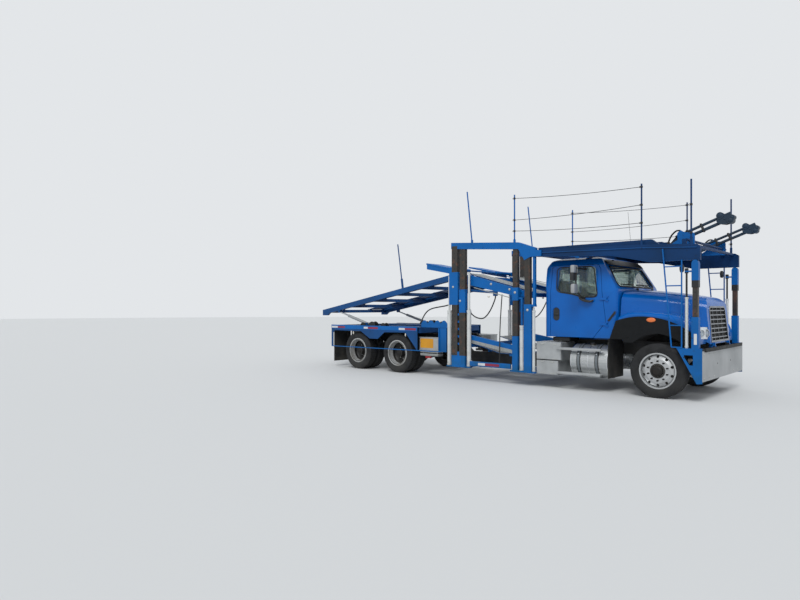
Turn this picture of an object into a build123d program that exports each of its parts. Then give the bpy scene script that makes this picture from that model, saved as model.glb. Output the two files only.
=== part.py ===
# Car transporter truck: a three-axle day-cab lorry with its own car decks, two lift towers,
# an over-cab deck with forward arms and a low hitch behind.
# All sizes are in millimetres. +X is forward, +Y is the truck's left and +Z is up.
# The origin is on the ground below the middle of the truck. In the tables, "ahead" is measured
# forward from the front axle, and spot() adds the axle's own place.
import os
from math import atan2, cos, hypot, sin

from build123d import *

os.makedirs("parts", exist_ok=True)

# Driving dimensions
front_axle_x = 3860
wheelbase = 6050
tandem_spacing = 1370
drive_axles = (-wheelbase, -wheelbase - tandem_spacing)
tandem_middle = -wheelbase - tandem_spacing / 2

# Tyres and rims
tyre_radius = 470
tyre_width = 250
axle_height = tyre_radius
bead_radius = 286
flange_radius = 310
steer_wheel_y = 1070
dual_outer_y = 1095
dual_inner_y = 785
hub_bore = 40
running_gap = 0.5

# Towers: a square post each side with a mast above it that a sleeve slides on
post_y = 1235
post_width = 100
half_post = post_width / 2
side_y = post_y + half_post
mast_width = 76
half_mast = mast_width / 2
front_mast_length = 80
tower_mast_length = 110
sleeve_gap = 0.6
sleeve_wall = 11.4
sleeve_half = half_mast + sleeve_gap + sleeve_wall

# Frame rails
rail_y = 425
rail_depth = 250
rail_flange = 70
rail_wall = 9
rail_top = 930
well_top = 560
rail_front = 680
rail_rear = tandem_middle - 1765
well_front = (-2150, -2600)
well_rear = (-4400, -4850)

# Cab
cab_half = 1050
cab_wall = 60
cab_floor = 990
cab_rear = -2200
cab_front = -755
belt_height = 1850
roof_height = 2525
roof_half = 940
door_gap = 8
glass_inset = 22
glass_thickness = 8
roof_corner = 70
rear_corner = 60
front_corner = 90
least_round = 32
door_hinge_ahead = -950
door_hinge_out = 12
door_hinge_heights = (1250, 1720)
door_hinge_pin = 7

# Hood
hood_wall = 24
hood_nose_round = 60
hood_rear = -733
hood_hinge_ahead = 700
hood_hinge_height = 890
arch_radius = 640

# Decks
deck_hinge_pin = 20
pin_gap = 0.6
head_hinge = (-2220, 2620)
head_seat_height = 2335
arm_hinge = (80, 2640)
arm_tip = (1080, 3025)
middle_hinge = (-4060, 2180)
rear_hinge = (-4270, 2170)
flap_hinge = (-4400, 2400)
deck_beam_y = post_y - 95
deck_beam_width = 60


def spot(ahead, y, z):
    """A point, measured forward from the front axle."""
    return (front_axle_x + ahead, y, z)


def side_face(points, y):
    """A face with straight edges in the plane of the truck's side, from (ahead, z) points."""
    with BuildSketch(Plane.XZ.offset(-y)) as face:
        with BuildLine():
            Polyline(*[(front_axle_x + ahead, z) for ahead, z in points], close=True)
        make_face()
    return face.sketch


def side_plate(points, y, width):
    """Adds a plate of the given width, centred on y, to the part being built."""
    extrude(side_face(points, y), amount=width / 2, both=True)


def channel(points, y, width, wall):
    """Adds a beam with the side outline given, open towards the truck's middle."""
    side_plate(points, y, width)
    with BuildSketch(Plane.XZ.offset(-y + wall)) as hollow:
        with BuildLine():
            Polyline(*[(front_axle_x + ahead, z) for ahead, z in points], close=True)
        make_face()
        offset(amount=-wall)
    extrude(hollow.sketch, amount=width / 2, both=True, mode=Mode.SUBTRACT)


def box(ahead, y, z, mode=Mode.ADD):
    """Adds a block between two stations, two sides and two heights."""
    middle = spot((ahead[0] + ahead[1]) / 2, (y[0] + y[1]) / 2, (z[0] + z[1]) / 2)
    with Locations(middle):
        Box(ahead[1] - ahead[0], y[1] - y[0], z[1] - z[0], mode=mode)


def cross_bar(ahead, z, radius, y, mode=Mode.ADD):
    """Adds a round bar along Y between the two sides given."""
    with BuildSketch(Plane.XZ.offset(-y[0])) as disc:
        with Locations((front_axle_x + ahead, z)):
            Circle(radius)
    extrude(disc.sketch, amount=y[0] - y[1], mode=mode)


def upright(ahead, y, z, radius, mode=Mode.ADD):
    """Adds a round bar along Z between the two heights given."""
    with BuildSketch(Plane.XY.offset(z[0])) as disc:
        with Locations((front_axle_x + ahead, y)):
            Circle(radius)
    extrude(disc.sketch, amount=z[1] - z[0], mode=mode)


def long_bar(ahead, y, z, radius, mode=Mode.ADD):
    """Adds a round bar along X between the two stations given."""
    with BuildSketch(Plane.YZ.offset(front_axle_x + ahead[0])) as disc:
        with Locations((y, z)):
            Circle(radius)
    extrude(disc.sketch, amount=ahead[1] - ahead[0], mode=mode)


def rod(start, end, radius, mode=Mode.ADD):
    """Adds a round bar between two (ahead, y, z) points."""
    low = Vector(*spot(*start))
    high = Vector(*spot(*end))
    with BuildSketch(Plane(origin=low, z_dir=high - low)) as disc:
        Circle(radius)
    extrude(disc.sketch, amount=(high - low).length, mode=mode)


def both_sides():
    """Adds the mirror image of what the part holds on the truck's other side."""
    mirror(about=Plane.XZ)


def wheel_ring(profile, ahead, y, side, mode=Mode.ADD):
    """Adds a turned ring about a wheel's axis, from (radius, distance outwards) points."""
    centre = spot(ahead, 0, axle_height)
    with BuildSketch(Plane(origin=centre, x_dir=(1, 0, 0), z_dir=(0, 0, 1))) as section:
        with BuildLine():
            Polyline(*[(radius, side * (y + out)) for radius, out in profile], close=True)
        make_face()
    revolve(section.sketch, axis=Axis(centre, (0, 1, 0)), mode=mode)


# Frame: two channel rails with a dropped well, cross members, and the lugs of the hood's hinge
rail_line = [
    (rail_front, rail_top),
    (well_front[0], rail_top),
    (well_front[1], well_top),
    (well_rear[0], well_top),
    (well_rear[1], rail_top),
    (rail_rear, rail_top),
]
rail_outline = rail_line + [(ahead, z - rail_depth) for ahead, z in reversed(rail_line)]
# ahead, height of the middle
cross_members = [
    (640, 760),
    (-1300, 800),
    (-2000, 800),
    (-3050, 435),
    (-3950, 435),
    (-5200, 800),
    (tandem_middle, 800),
    (rail_rear + 100, 800),
]
with BuildPart() as chassis_frame:
    channel(rail_outline, rail_y - rail_flange / 2, rail_flange, rail_wall)
    both_sides()
    for ahead, z in cross_members:
        box((ahead - 40, ahead + 40), (-rail_y + 4, rail_y - 4), (z - 60, z + 60))
    for side in (1, -1):
        box((640, 722), sorted((side * rail_y, side * (rail_y + 14))), (800, 915))
        cross_bar(hood_hinge_ahead, hood_hinge_height, 12, sorted((side * 430, side * 472)))
chassis_frame.part.label = "chassis_frame"
export_step(chassis_frame.part, "parts/chassis_frame.step")

with BuildPart() as engine_block:
    box((-690, 330), (-320, 320), (640, 1480))
    chamfer(engine_block.edges().group_by(Axis.Z)[-1], 60)
    for ahead in (-400, 250):
        foot_low = rail_top - rail_depth + rail_wall + 0.3
        box((ahead - 50, ahead + 50), (-400, 400), (foot_low, foot_low + 50))
engine_block.part.label = "engine_block"
export_step(engine_block.part, "parts/engine_block.step")

with BuildPart() as radiator:
    box((400, 480), (-rail_y, rail_y), (rail_top, 1470))
radiator.part.label = "radiator"
export_step(radiator.part, "parts/radiator.step")

# Front axle: a dropped beam with an eye for each kingpin
kingpin_y = 930
kingpin_radius = 22
eye_radius = 45
with BuildPart() as front_axle:
    with BuildSketch(Plane.YZ.offset(front_axle_x)) as beam:
        with BuildLine():
            Polyline(
                (-kingpin_y, axle_height + 45),
                (-700, axle_height + 10),
                (-560, axle_height - 40),
                (560, axle_height - 40),
                (700, axle_height + 10),
                (kingpin_y, axle_height + 45),
                (kingpin_y, axle_height - 45),
                (kingpin_y - 85, axle_height - 45),
                (680, axle_height - 75),
                (540, axle_height - 130),
                (-540, axle_height - 130),
                (-680, axle_height - 75),
                (85 - kingpin_y, axle_height - 45),
                (-kingpin_y, axle_height - 45),
                close=True,
            )
        make_face()
    extrude(amount=38, both=True)
    for side in (1, -1):
        upright(0, side * kingpin_y, (axle_height - 45, axle_height + 45), eye_radius)
    for side in (1, -1):
        upright(
            0, side * kingpin_y, (axle_height - 60, axle_height + 60),
            kingpin_radius + running_gap, Mode.SUBTRACT,
        )
front_axle.part.label = "front_axle"
export_step(front_axle.part, "parts/front_axle.step")

# Knuckles: a fork round the axle's eye, the kingpin, the spindle and the steering arm
fork_gap = 51
spindle_radius = hub_bore - running_gap
arm_reach = 170
tie_y = 850
tie_height = axle_height - 100
for side, name in ((1, "left"), (-1, "right")):
    with BuildPart() as knuckle:
        box((-48, 48), sorted((side * 978, side * 1000)), (axle_height - 95, axle_height + 95))
        box((-40, 40), sorted((side * 885, side * 985)), (axle_height + fork_gap, axle_height + 95))
        box((-40, 40), sorted((side * 885, side * 985)), (axle_height - 95, axle_height - fork_gap))
        upright(0, side * kingpin_y, (axle_height - 80, axle_height + 80), kingpin_radius)
        cross_bar(0, axle_height, spindle_radius, sorted((side * 995, side * 1150)))
        box((-arm_reach, -30), sorted((side * 890, side * 930)), (axle_height - 95, axle_height - 70))
        box((-arm_reach - 22, -arm_reach + 30), sorted((side * 826, side * 930)),
            (axle_height - 95, axle_height - 70))
    knuckle.part.label = f"knuckle_{name}"
    export_step(knuckle.part, f"parts/knuckle_{name}.step")

with BuildPart() as tie_rod:
    cross_bar(-arm_reach, tie_height - 22, 16, (-tie_y - 20, tie_y + 20))
    for side in (1, -1):
        upright(-arm_reach, side * tie_y, (tie_height - 22, axle_height - 95.3), 14)
tie_rod.part.label = "tie_rod"
export_step(tie_rod.part, "parts/tie_rod.step")

# Tyres: half a section, radius and distance out from the tyre's middle
tyre_section = [
    (bead_radius + running_gap, 94),
    (310, 97),
    (345, tyre_width / 2),
    (415, tyre_width / 2 - 4),
    (455, tyre_width / 2 - 22),
    (tyre_radius, tyre_width / 2 - 40),
]
tyre_ring = tyre_section + [(radius, -out) for radius, out in reversed(tyre_section)]

# Rims: radius and distance out from the rim's middle, round the section once. A steering wheel's
# disc stands out at its middle, with a ring of hand holes in its sloping edge.
rim_half = 108
disc_face = 96
nut_circle_edge = 205
hand_hole_circle = 246
hand_hole_radius = 25
steer_rim = [
    (flange_radius, rim_half), (flange_radius, rim_half - 8), (bead_radius, rim_half - 11),
    (bead_radius, 11 - rim_half), (flange_radius, 8 - rim_half), (flange_radius, -rim_half),
    (276, -rim_half), (270, -60), (270, 20), (250, disc_face - 46), (nut_circle_edge - 4, disc_face - 14),
    (102, disc_face - 14), (102, -50), (hub_bore, -50), (hub_bore, disc_face + 20), (0, disc_face + 20),
    (0, disc_face + 46), (62, disc_face + 46), (84, disc_face + 36), (96, disc_face),
    (nut_circle_edge, disc_face), (264, disc_face - 26), (280, disc_face - 48), (286, rim_half),
]
hand_hole_count = 10
for side, name in ((1, "left"), (-1, "right")):
    with BuildPart() as front_tyre:
        wheel_ring(tyre_ring, 0, steer_wheel_y, side)
    front_tyre.part.label = f"front_tyre_{name}"
    export_step(front_tyre.part, f"parts/front_tyre_{name}.step")

    with BuildPart() as front_rim:
        wheel_ring(steer_rim, 0, steer_wheel_y, side)
        with Locations(Plane(origin=spot(0, side * steer_wheel_y, axle_height), z_dir=(0, side, 0))):
            with PolarLocations(hand_hole_circle, hand_hole_count):
                Hole(hand_hole_radius)
    front_rim.part.label = f"front_rim_{name}"
    export_step(front_rim.part, f"parts/front_rim_{name}.step")

# Drive wheels: twin tyres and twin rims bolted back to back over a hub with its brake drum
dual_middle_y = (dual_outer_y + dual_inner_y) / 2
dual_half = (dual_outer_y - dual_inner_y) / 2
outer_end = dual_half + rim_half
outer_start = dual_half - rim_half
dual_profile = [
    (flange_radius, outer_end), (flange_radius, outer_end - 8), (bead_radius, outer_end - 11),
    (bead_radius, outer_start + 11), (flange_radius, outer_start + 8), (flange_radius, outer_start),
    (270, outer_start), (240, 28), (195, 0), (240, -28), (270, -outer_start),
    (flange_radius, -outer_start), (flange_radius, -outer_start - 8), (bead_radius, -outer_start - 11),
    (bead_radius, 11 - outer_end), (flange_radius, 8 - outer_end), (flange_radius, -outer_end),
    (276, -outer_end), (262, -150), (262, -70), (236, -46), (215, -34), (215, -205), (190, -205),
    (190, -24), (100, -24), (100, -100), (hub_bore + 6, -100), (hub_bore + 6, 190), (0, 190),
    (0, 205), (70, 205), (88, 195), (96, 100), (100, 24), (185, 24), (236, 46), (262, 70),
    (262, 150), (276, outer_end),
]
for index, ahead in enumerate(drive_axles, start=1):
    for side, name in ((1, "left"), (-1, "right")):
        with BuildPart() as drive_tyres:
            wheel_ring(tyre_ring, ahead, dual_outer_y, side)
            wheel_ring(tyre_ring, ahead, dual_inner_y, side)
        drive_tyres.part.label = f"drive_tyres_{index}_{name}"
        export_step(drive_tyres.part, f"parts/drive_tyres_{index}_{name}.step")

        with BuildPart() as drive_rims:
            wheel_ring(dual_profile, ahead, dual_middle_y, side)
        drive_rims.part.label = f"drive_rims_{index}_{name}"
        export_step(drive_rims.part, f"parts/drive_rims_{index}_{name}.step")

# Drive axles: a tube with a round differential, and a spindle through each hub
with BuildPart() as drive_axle_tubes:
    for ahead in drive_axles:
        cross_bar(ahead, axle_height, 68, (-dual_middle_y + 230, dual_middle_y - 230))
        cross_bar(ahead, axle_height, hub_bore + 6 - running_gap, (-dual_middle_y - 185, dual_middle_y + 185))
        cross_bar(ahead, axle_height, 190, (-95, 95))
        long_bar((ahead, ahead + 300), 0, axle_height, 75)
drive_axle_tubes.part.label = "drive_axle_tubes"
export_step(drive_axle_tubes.part, "parts/drive_axle_tubes.step")

# Springs: a leaf pack on each side of the front axle, and a trailing arm with an air bag behind
spring_y = 390
air_bag_radius = 110
with BuildPart() as suspension:
    front_spring = [
        (-640, 640), (-640, 680), (-600, 680), (-590, 600), (0, axle_height + 10), (590, 600),
        (600, 680), (640, 680), (640, 640), (610, 570), (0, axle_height - 40), (-610, 570),
    ]
    side_plate(front_spring, spring_y, 76)
    for ahead in drive_axles:
        arm = [
            (ahead + 560, 680), (ahead + 640, 680), (ahead + 640, 560), (ahead + 120, 540),
            (ahead - 420, 500), (ahead - 420, 540), (ahead, 600), (ahead + 560, 610),
        ]
        side_plate(arm, spring_y, 76)
        upright(ahead - 320, spring_y, (530, 680), air_bag_radius / 2)
    for ahead in drive_axles:
        cross_bar(ahead, axle_height, 68 + 0.3, (spring_y - 60, spring_y + 60), Mode.SUBTRACT)
    box((-45, 45), (spring_y - 60, spring_y + 60), (axle_height - 130, axle_height - 40), Mode.SUBTRACT)
    both_sides()
suspension.part.label = "suspension"
export_step(suspension.part, "parts/suspension.step")

# Cab: an outline from the side and one from the front give its body, and the same outlines
# moved in by the wall give the space inside
cab_side = [
    (cab_rear, cab_floor), (cab_rear, 2330), (cab_rear + 70, 2470), (cab_rear + 220, roof_height),
    (-1250, roof_height), (-1110, 2475), (-1050, 2400), (cab_front, 1895), (cab_front, 1330),
    (-880, cab_floor),
]
cab_back = [
    (-cab_half, cab_floor), (cab_half, cab_floor), (cab_half, belt_height), (roof_half + 10, 2380),
    (roof_half - 70, 2480), (roof_half - 230, roof_height), (-roof_half + 230, roof_height),
    (-roof_half + 70, 2480), (-roof_half - 10, 2380), (-cab_half, belt_height),
]


def cab_solid(inset):
    """The cab's body, with every outline moved in by the distance given and large rounds kept."""
    with BuildPart() as body:
        with BuildSketch(Plane.XZ) as from_side:
            with BuildLine():
                Polyline(*[(front_axle_x + ahead, z) for ahead, z in cab_side], close=True)
            make_face()
            if inset:
                offset(amount=-inset)
            if roof_corner - inset > least_round:
                fillet(from_side.vertices().sort_by(Axis.Y)[4:], roof_corner - inset)
        extrude(from_side.sketch, amount=cab_half + 10, both=True)
        with BuildSketch(Plane.YZ.offset(front_axle_x)) as from_back:
            with BuildLine():
                Polyline(*cab_back, close=True)
            make_face()
            if inset:
                offset(amount=-inset)
            if roof_corner - inset > least_round:
                fillet(from_back.vertices().sort_by(Axis.Y)[4:], roof_corner - inset)
        extrude(from_back.sketch, amount=abs(cab_rear) + 10, both=True, mode=Mode.INTERSECT)
        with BuildSketch(Plane.XY) as from_above:
            with Locations((front_axle_x + (cab_rear + cab_front) / 2, 0)):
                Rectangle(cab_front - cab_rear, 2 * cab_half)
            if inset:
                offset(amount=-inset)
            if rear_corner - inset > least_round:
                fillet(from_above.vertices().group_by(Axis.X)[0], rear_corner - inset)
            if front_corner - inset > least_round:
                fillet(from_above.vertices().group_by(Axis.X)[-1], front_corner - inset)
        extrude(from_above.sketch, amount=roof_height + 10, mode=Mode.INTERSECT)
    return body.part


door_outline = [
    (-2085, cab_floor - 5), (-2085, 2330), (-2045, 2375), (-1150, 2375), (-1090, 2290),
    (-958, 1290), (-1205, cab_floor - 5),
]
door_window = [
    (-1950, 1905), (-1935, 2290), (-1880, 2330), (-1240, 2330), (-1190, 2290), (-1125, 1800),
    (-1160, 1755), (-1440, 1755), (-1600, 1810), (-1900, 1860),
]
windscreen_outline = [
    (-850, 1950), (850, 1950), (895, 2010), (800, 2330), (-800, 2330), (-895, 2010),
]
rear_window = ((-430, 430), (1880, 2260))


def door_prism(inset, side):
    """The space that a door fills, moved in all round by the distance given."""
    with BuildPart() as prism:
        with BuildSketch(Plane.XZ) as face:
            with BuildLine():
                Polyline(*[(front_axle_x + ahead, z) for ahead, z in door_outline], close=True)
            make_face()
            if inset:
                offset(amount=-inset)
        extrude(face.sketch, amount=-side * (cab_half + 40))
        box((-2200, -900), sorted((0, side * 800)), (cab_floor - 50, 2500), Mode.SUBTRACT)
        floor_edge = side * (cab_half - cab_wall + inset)
        box((-2200, -900), sorted((0, floor_edge)), (cab_floor - 50, cab_floor + cab_wall + inset),
            Mode.SUBTRACT)
    return prism.part


def windscreen_prism():
    """The space in front of the cab that looks in through the windscreen."""
    with BuildPart() as prism:
        with BuildSketch(Plane.YZ.offset(front_axle_x - 1200)) as face:
            with BuildLine():
                Polyline(*windscreen_outline, close=True)
            make_face()
        extrude(face.sketch, amount=600)
    return prism.part


cab_body = cab_solid(0)
cab_room = cab_solid(cab_wall)
with BuildPart() as cab_shell:
    add(cab_body)
    add(cab_room, mode=Mode.SUBTRACT)
    for side in (1, -1):
        add(door_prism(0, side), mode=Mode.SUBTRACT)
    add(windscreen_prism(), mode=Mode.SUBTRACT)
    box((cab_rear - 10, cab_rear + cab_wall + 10), *rear_window, Mode.SUBTRACT)
    for side in (1, -1):
        box((cab_rear + 60, -800), sorted((side * 300, side * (rail_y - 4))), (rail_top, cab_floor))
        hinge_y = side * (cab_half + door_hinge_out)
        lug_y = sorted((side * (cab_half - 1), side * (cab_half + door_hinge_out + 9)))
        for z in door_hinge_heights:
            upright(door_hinge_ahead, hinge_y, (z - 40, z + 40), door_hinge_pin)
            box((door_hinge_ahead - 9, door_hinge_ahead + 35), lug_y, (z + 22, z + 45))
            box((door_hinge_ahead - 9, door_hinge_ahead + 35), lug_y, (z - 45, z - 22))
cab_shell.part.label = "cab_shell"
export_step(cab_shell.part, "parts/cab_shell.step")

with BuildPart() as glass_space:
    add(windscreen_prism())
    box((cab_rear - 10, cab_rear + cab_wall + 10), *rear_window)
with BuildPart() as cab_glass:
    add(cab_solid(glass_inset))
    add(cab_solid(glass_inset + glass_thickness), mode=Mode.SUBTRACT)
    add(glass_space.part, mode=Mode.INTERSECT)
cab_glass.part.label = "cab_glass"
export_step(cab_glass.part, "parts/cab_glass.step")


def door_window_prism(side):
    """The space that looks in through a door's window."""
    with BuildPart() as prism:
        extrude(side_face(door_window, side * 800), amount=-side * 300)
    return prism.part


# Doors: each is the piece of the cab's wall that its doorway leaves out, with its own glass,
# a handle recess and two mirrors on a bracket
mirror_ahead = -1410
mirror_y = 1370
for side, name in ((1, "left"), (-1, "right")):
    with BuildPart() as door:
        add(cab_body)
        add(cab_room, mode=Mode.SUBTRACT)
        add(door_prism(door_gap, side), mode=Mode.INTERSECT)
        add(door_window_prism(side), mode=Mode.SUBTRACT)
        with BuildSketch(Plane.XZ.offset(-side * (cab_half + 5))) as recess:
            with Locations((front_axle_x - 1960, 1430)):
                SlotOverall(270, 150, rotation=90)
        extrude(recess.sketch, amount=side * 20, mode=Mode.SUBTRACT)
        hinge_y = side * (cab_half + door_hinge_out)
        root_y = sorted((side * (cab_half - 2), side * (cab_half + door_hinge_out + 8)))
        arm_y = sorted((hinge_y - side * 8, hinge_y + side * 8))
        for z in door_hinge_heights:
            box((door_hinge_ahead - 125, door_hinge_ahead - 85), root_y, (z - 21, z + 21))
            box((door_hinge_ahead - 90, door_hinge_ahead), arm_y, (z - 21, z + 21))
            upright(door_hinge_ahead, hinge_y, (z - 21, z + 21), 11)
            upright(door_hinge_ahead, hinge_y, (z - 30, z + 30), door_hinge_pin + pin_gap, Mode.SUBTRACT)
    door.part.label = f"door_{name}"
    export_step(door.part, f"parts/door_{name}.step")

    with BuildPart() as door_glass:
        add(cab_solid(glass_inset))
        add(cab_solid(glass_inset + glass_thickness), mode=Mode.SUBTRACT)
        add(door_window_prism(side), mode=Mode.INTERSECT)
    door_glass.part.label = f"door_glass_{name}"
    export_step(door_glass.part, f"parts/door_glass_{name}.step")

    with BuildPart() as mirrors:
        out = side * mirror_y
        box((mirror_ahead - 55, mirror_ahead + 5), sorted((out - 90, out + 70)), (2060, 2330))
        box((mirror_ahead - 55, mirror_ahead + 5), sorted((out - 85, out + 65)), (1830, 1990))
        rod((mirror_ahead + 15, out, 1850), (mirror_ahead + 15, out, 2310), 14)
        rod((mirror_ahead + 15, side * (cab_half + 18), 1727), (mirror_ahead + 15, out, 1880), 12)
        rod((mirror_ahead + 15, side * 980, 2290), (mirror_ahead + 15, out, 2290), 12)
        box((mirror_ahead - 25, mirror_ahead + 55),
            sorted((side * (cab_half + 0.3), side * (cab_half + 24))), (1690, 1750))
        box((mirror_ahead - 15, mirror_ahead + 45), sorted((side * 970.2, side * 990)), (2274, 2306))
    mirrors.part.label = f"mirrors_{name}"
    export_step(mirrors.part, f"parts/mirrors_{name}.step")

# Cab inside: dashboard with the steering wheel on its column, and two seats
driver_y = 480
with BuildPart() as dashboard:
    dash = [(-815.3, 1350), (-815.3, 1800), (-860, 1830), (-1010, 1800), (-1060, 1640), (-1000, 1350)]
    side_plate(dash, 0, 2 * (cab_half - cab_wall - front_corner / 2))
    rod((-1030, driver_y, 1600), (-1250, driver_y, 1745), 26)
    hub = Plane(origin=spot(-1250, driver_y, 1745), z_dir=(-220, 0, 145))
    with BuildSketch(Plane(origin=hub.origin, x_dir=hub.x_dir, z_dir=hub.y_dir)) as ring:
        with Locations((225, 0)):
            Circle(17)
    revolve(ring.sketch, axis=Axis(hub.origin, hub.z_dir))
    with BuildSketch(hub) as spokes:
        Rectangle(440, 36)
        Rectangle(36, 440)
        Circle(60)
    extrude(spokes.sketch, amount=8, both=True)
dashboard.part.label = "dashboard"
export_step(dashboard.part, "parts/dashboard.step")

with BuildPart() as seats:
    cushion = [(-1960, 1250), (-1960, 1420), (-1880, 1440), (-1400, 1430), (-1380, 1380), (-1400, 1250)]
    back = [(-1960, 1430), (-2080, 2080), (-2020, 2110), (-1960, 2080), (-1850, 1445)]
    for y in (driver_y, -driver_y):
        side_plate(cushion, y, 520)
        side_plate(back, y, 500)
        box((-1850, -1500), (y - 180, y + 180), (cab_floor + cab_wall, 1250))
seats.part.label = "seats"
export_step(seats.part, "parts/seats.step")


# Hood: a tapering crowned shell with a bulging fender each side, open below and behind. Its nose
# leans back and its front corners are drawn in round the grille.
# ahead, half width at the shoulder, half width at the bottom, crown height, shoulder height, bottom
hood_sections = [
    (hood_rear, 900, 960, 1895, 1700, 1330),
    (-250, 830, 920, 1862, 1655, 1290),
    (200, 735, 830, 1800, 1590, 1180),
    (730, 610, 660, 1705, 1480, 900),
]
nose_foot = (685, 930)
nose_head = (618, 1640)
nose_side = [
    (-760, 850), (-760, 2200), (-200, 2200), (560, 1725), nose_head, nose_foot, (nose_foot[0] + 8, 850),
]
nose_plan = [(-760, 1100), (380, 1100), (430, 830), (nose_foot[0] + 15, 590)]
nose_corner = 90
fender_inner_y = 540
fender_outer_y = 1125
fender_round = 80
fender_low = 940
fender_back_low = 1330
fender_crest = [(-704, 1395), (-600, 1446), (-100, 1468), (300, 1412), (520, 1300), (604, 1140)]


def hood_section(section, inset, place):
    """A face across the hood: straight sides below the shoulders and one smooth crown above."""
    ahead, shoulder_half, low_half, top, shoulder, low = section
    edge = shoulder_half - inset
    with BuildSketch(Plane.YZ.offset(front_axle_x + place)) as face:
        with BuildLine():
            Line((inset - low_half, low - 2 * inset), (-edge, shoulder))
            Spline(
                (-edge, shoulder), (-edge * 0.9, top - inset - (top - shoulder) * 0.4),
                (-edge * 0.62, top - inset - (top - shoulder) * 0.1), (0, top - inset),
                (edge * 0.62, top - inset - (top - shoulder) * 0.1),
                (edge * 0.9, top - inset - (top - shoulder) * 0.4), (edge, shoulder),
            )
            Line((edge, shoulder), (low_half - inset, low - 2 * inset))
            Line((low_half - inset, low - 2 * inset), (inset - low_half, low - 2 * inset))
        make_face()
    return face.sketch.face()


def hood_middle(inset):
    """The hood's middle as a solid, with its walls moved in by the distance given."""
    with BuildPart() as body:
        behind = 5 if inset else 0
        stations = [hood_sections[0][0] - behind] + [section[0] for section in hood_sections[1:]]
        loft([hood_section(section, inset, place) for section, place in zip(hood_sections, stations)])
        with BuildSketch(Plane.XZ) as from_side:
            with BuildLine():
                Polyline(*[(front_axle_x + ahead - inset, z) for ahead, z in nose_side], close=True)
            make_face()
            fillet(from_side.vertices().group_by(Axis.X)[-3:-2][0].sort_by(Axis.Y)[-1], hood_nose_round)
        extrude(from_side.sketch, amount=cab_half + 100, both=True, mode=Mode.INTERSECT)
        with BuildSketch(Plane.XY) as from_above:
            with BuildLine():
                outline = [(front_axle_x + ahead - inset, y) for ahead, y in nose_plan]
                Polyline(*outline, *[(x, -y) for x, y in reversed(outline)], close=True)
            make_face()
            fillet(from_above.vertices().group_by(Axis.X)[-1], nose_corner)
        extrude(from_above.sketch, amount=roof_height, mode=Mode.INTERSECT)
    return body.part


def moved_in(points, distance):
    """The (x, z) points of a line, each moved square to it, towards its right."""
    moved = []
    for index, (x, z) in enumerate(points):
        before = points[max(index - 1, 0)]
        after = points[min(index + 1, len(points) - 1)]
        length = hypot(after[0] - before[0], after[1] - before[1])
        across_x = (after[1] - before[1]) / length
        across_z = (before[0] - after[0]) / length
        moved.append((x + distance * across_x, z + distance * across_z))
    return moved


def fender(side, inset):
    """A fender as a solid with a rounded upper edge, with its walls moved in by the distance."""
    with BuildPart() as body:
        low = fender_low - 2 * inset
        back_low = fender_back_low - 2 * inset
        line = [(front_axle_x + ahead, z) for ahead, z in fender_crest]
        line = moved_in(line + [(line[-1][0] + 16, fender_low)], inset)
        line[0] = (front_axle_x + fender_crest[0][0] + inset, line[0][1])
        line[-1] = (line[-1][0], low)
        rear = front_axle_x + inset
        with BuildSketch(Plane.XZ.offset(-side * (fender_outer_y - inset))) as face:
            with BuildLine():
                Spline(*line)
                Polyline(
                    line[-1], (rear - 560, low), (rear - 640, back_low), (rear - 708, back_low), line[0]
                )
            make_face()
        extrude(face.sketch, amount=side * (fender_outer_y - fender_inner_y - inset))
        outer = body.faces().sort_by(Axis.Y)[-1 if side > 0 else 0]
        top = outer.edges().sort_by(SortBy.LENGTH)[-1]
        fillet(top, fender_round - inset)
    return body.part


# The grille lies in the nose's leaning plane, in which heights are measured up from the foot
nose_lean = atan2(nose_foot[0] - nose_head[0], nose_head[1] - nose_foot[1])
nose_plane = Plane(
    origin=spot(nose_foot[0], 0, nose_foot[1]), x_dir=(0, 1, 0), z_dir=(cos(nose_lean), 0, sin(nose_lean))
)
grille_outline = [(-545, 30), (545, 30), (490, 655), (-490, 655)]
grille_corner = 70
lamp_plan = [(450, 605), (652, 605), (628, 760), (560, 925), (450, 925)]
lamp_height = (1015, 1225)
lamp_gap = 0.3


def lamp_body(gap):
    """A lamp's solid on the left side, moved out all round by the gap given."""
    with BuildPart() as body:
        with BuildSketch(Plane.XY.offset(lamp_height[0] - gap)) as plan:
            with BuildLine():
                Polyline(*[(front_axle_x + ahead, y) for ahead, y in lamp_plan], close=True)
            make_face()
            if gap:
                offset(amount=gap, kind=Kind.INTERSECTION)
        extrude(plan.sketch, amount=lamp_height[1] - lamp_height[0] + 2 * gap)
        if gap:
            box((lamp_plan[0][0], 720), (lamp_plan[0][1] + 60, lamp_plan[-1][1] + gap), lamp_height)
    return body.part


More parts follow.
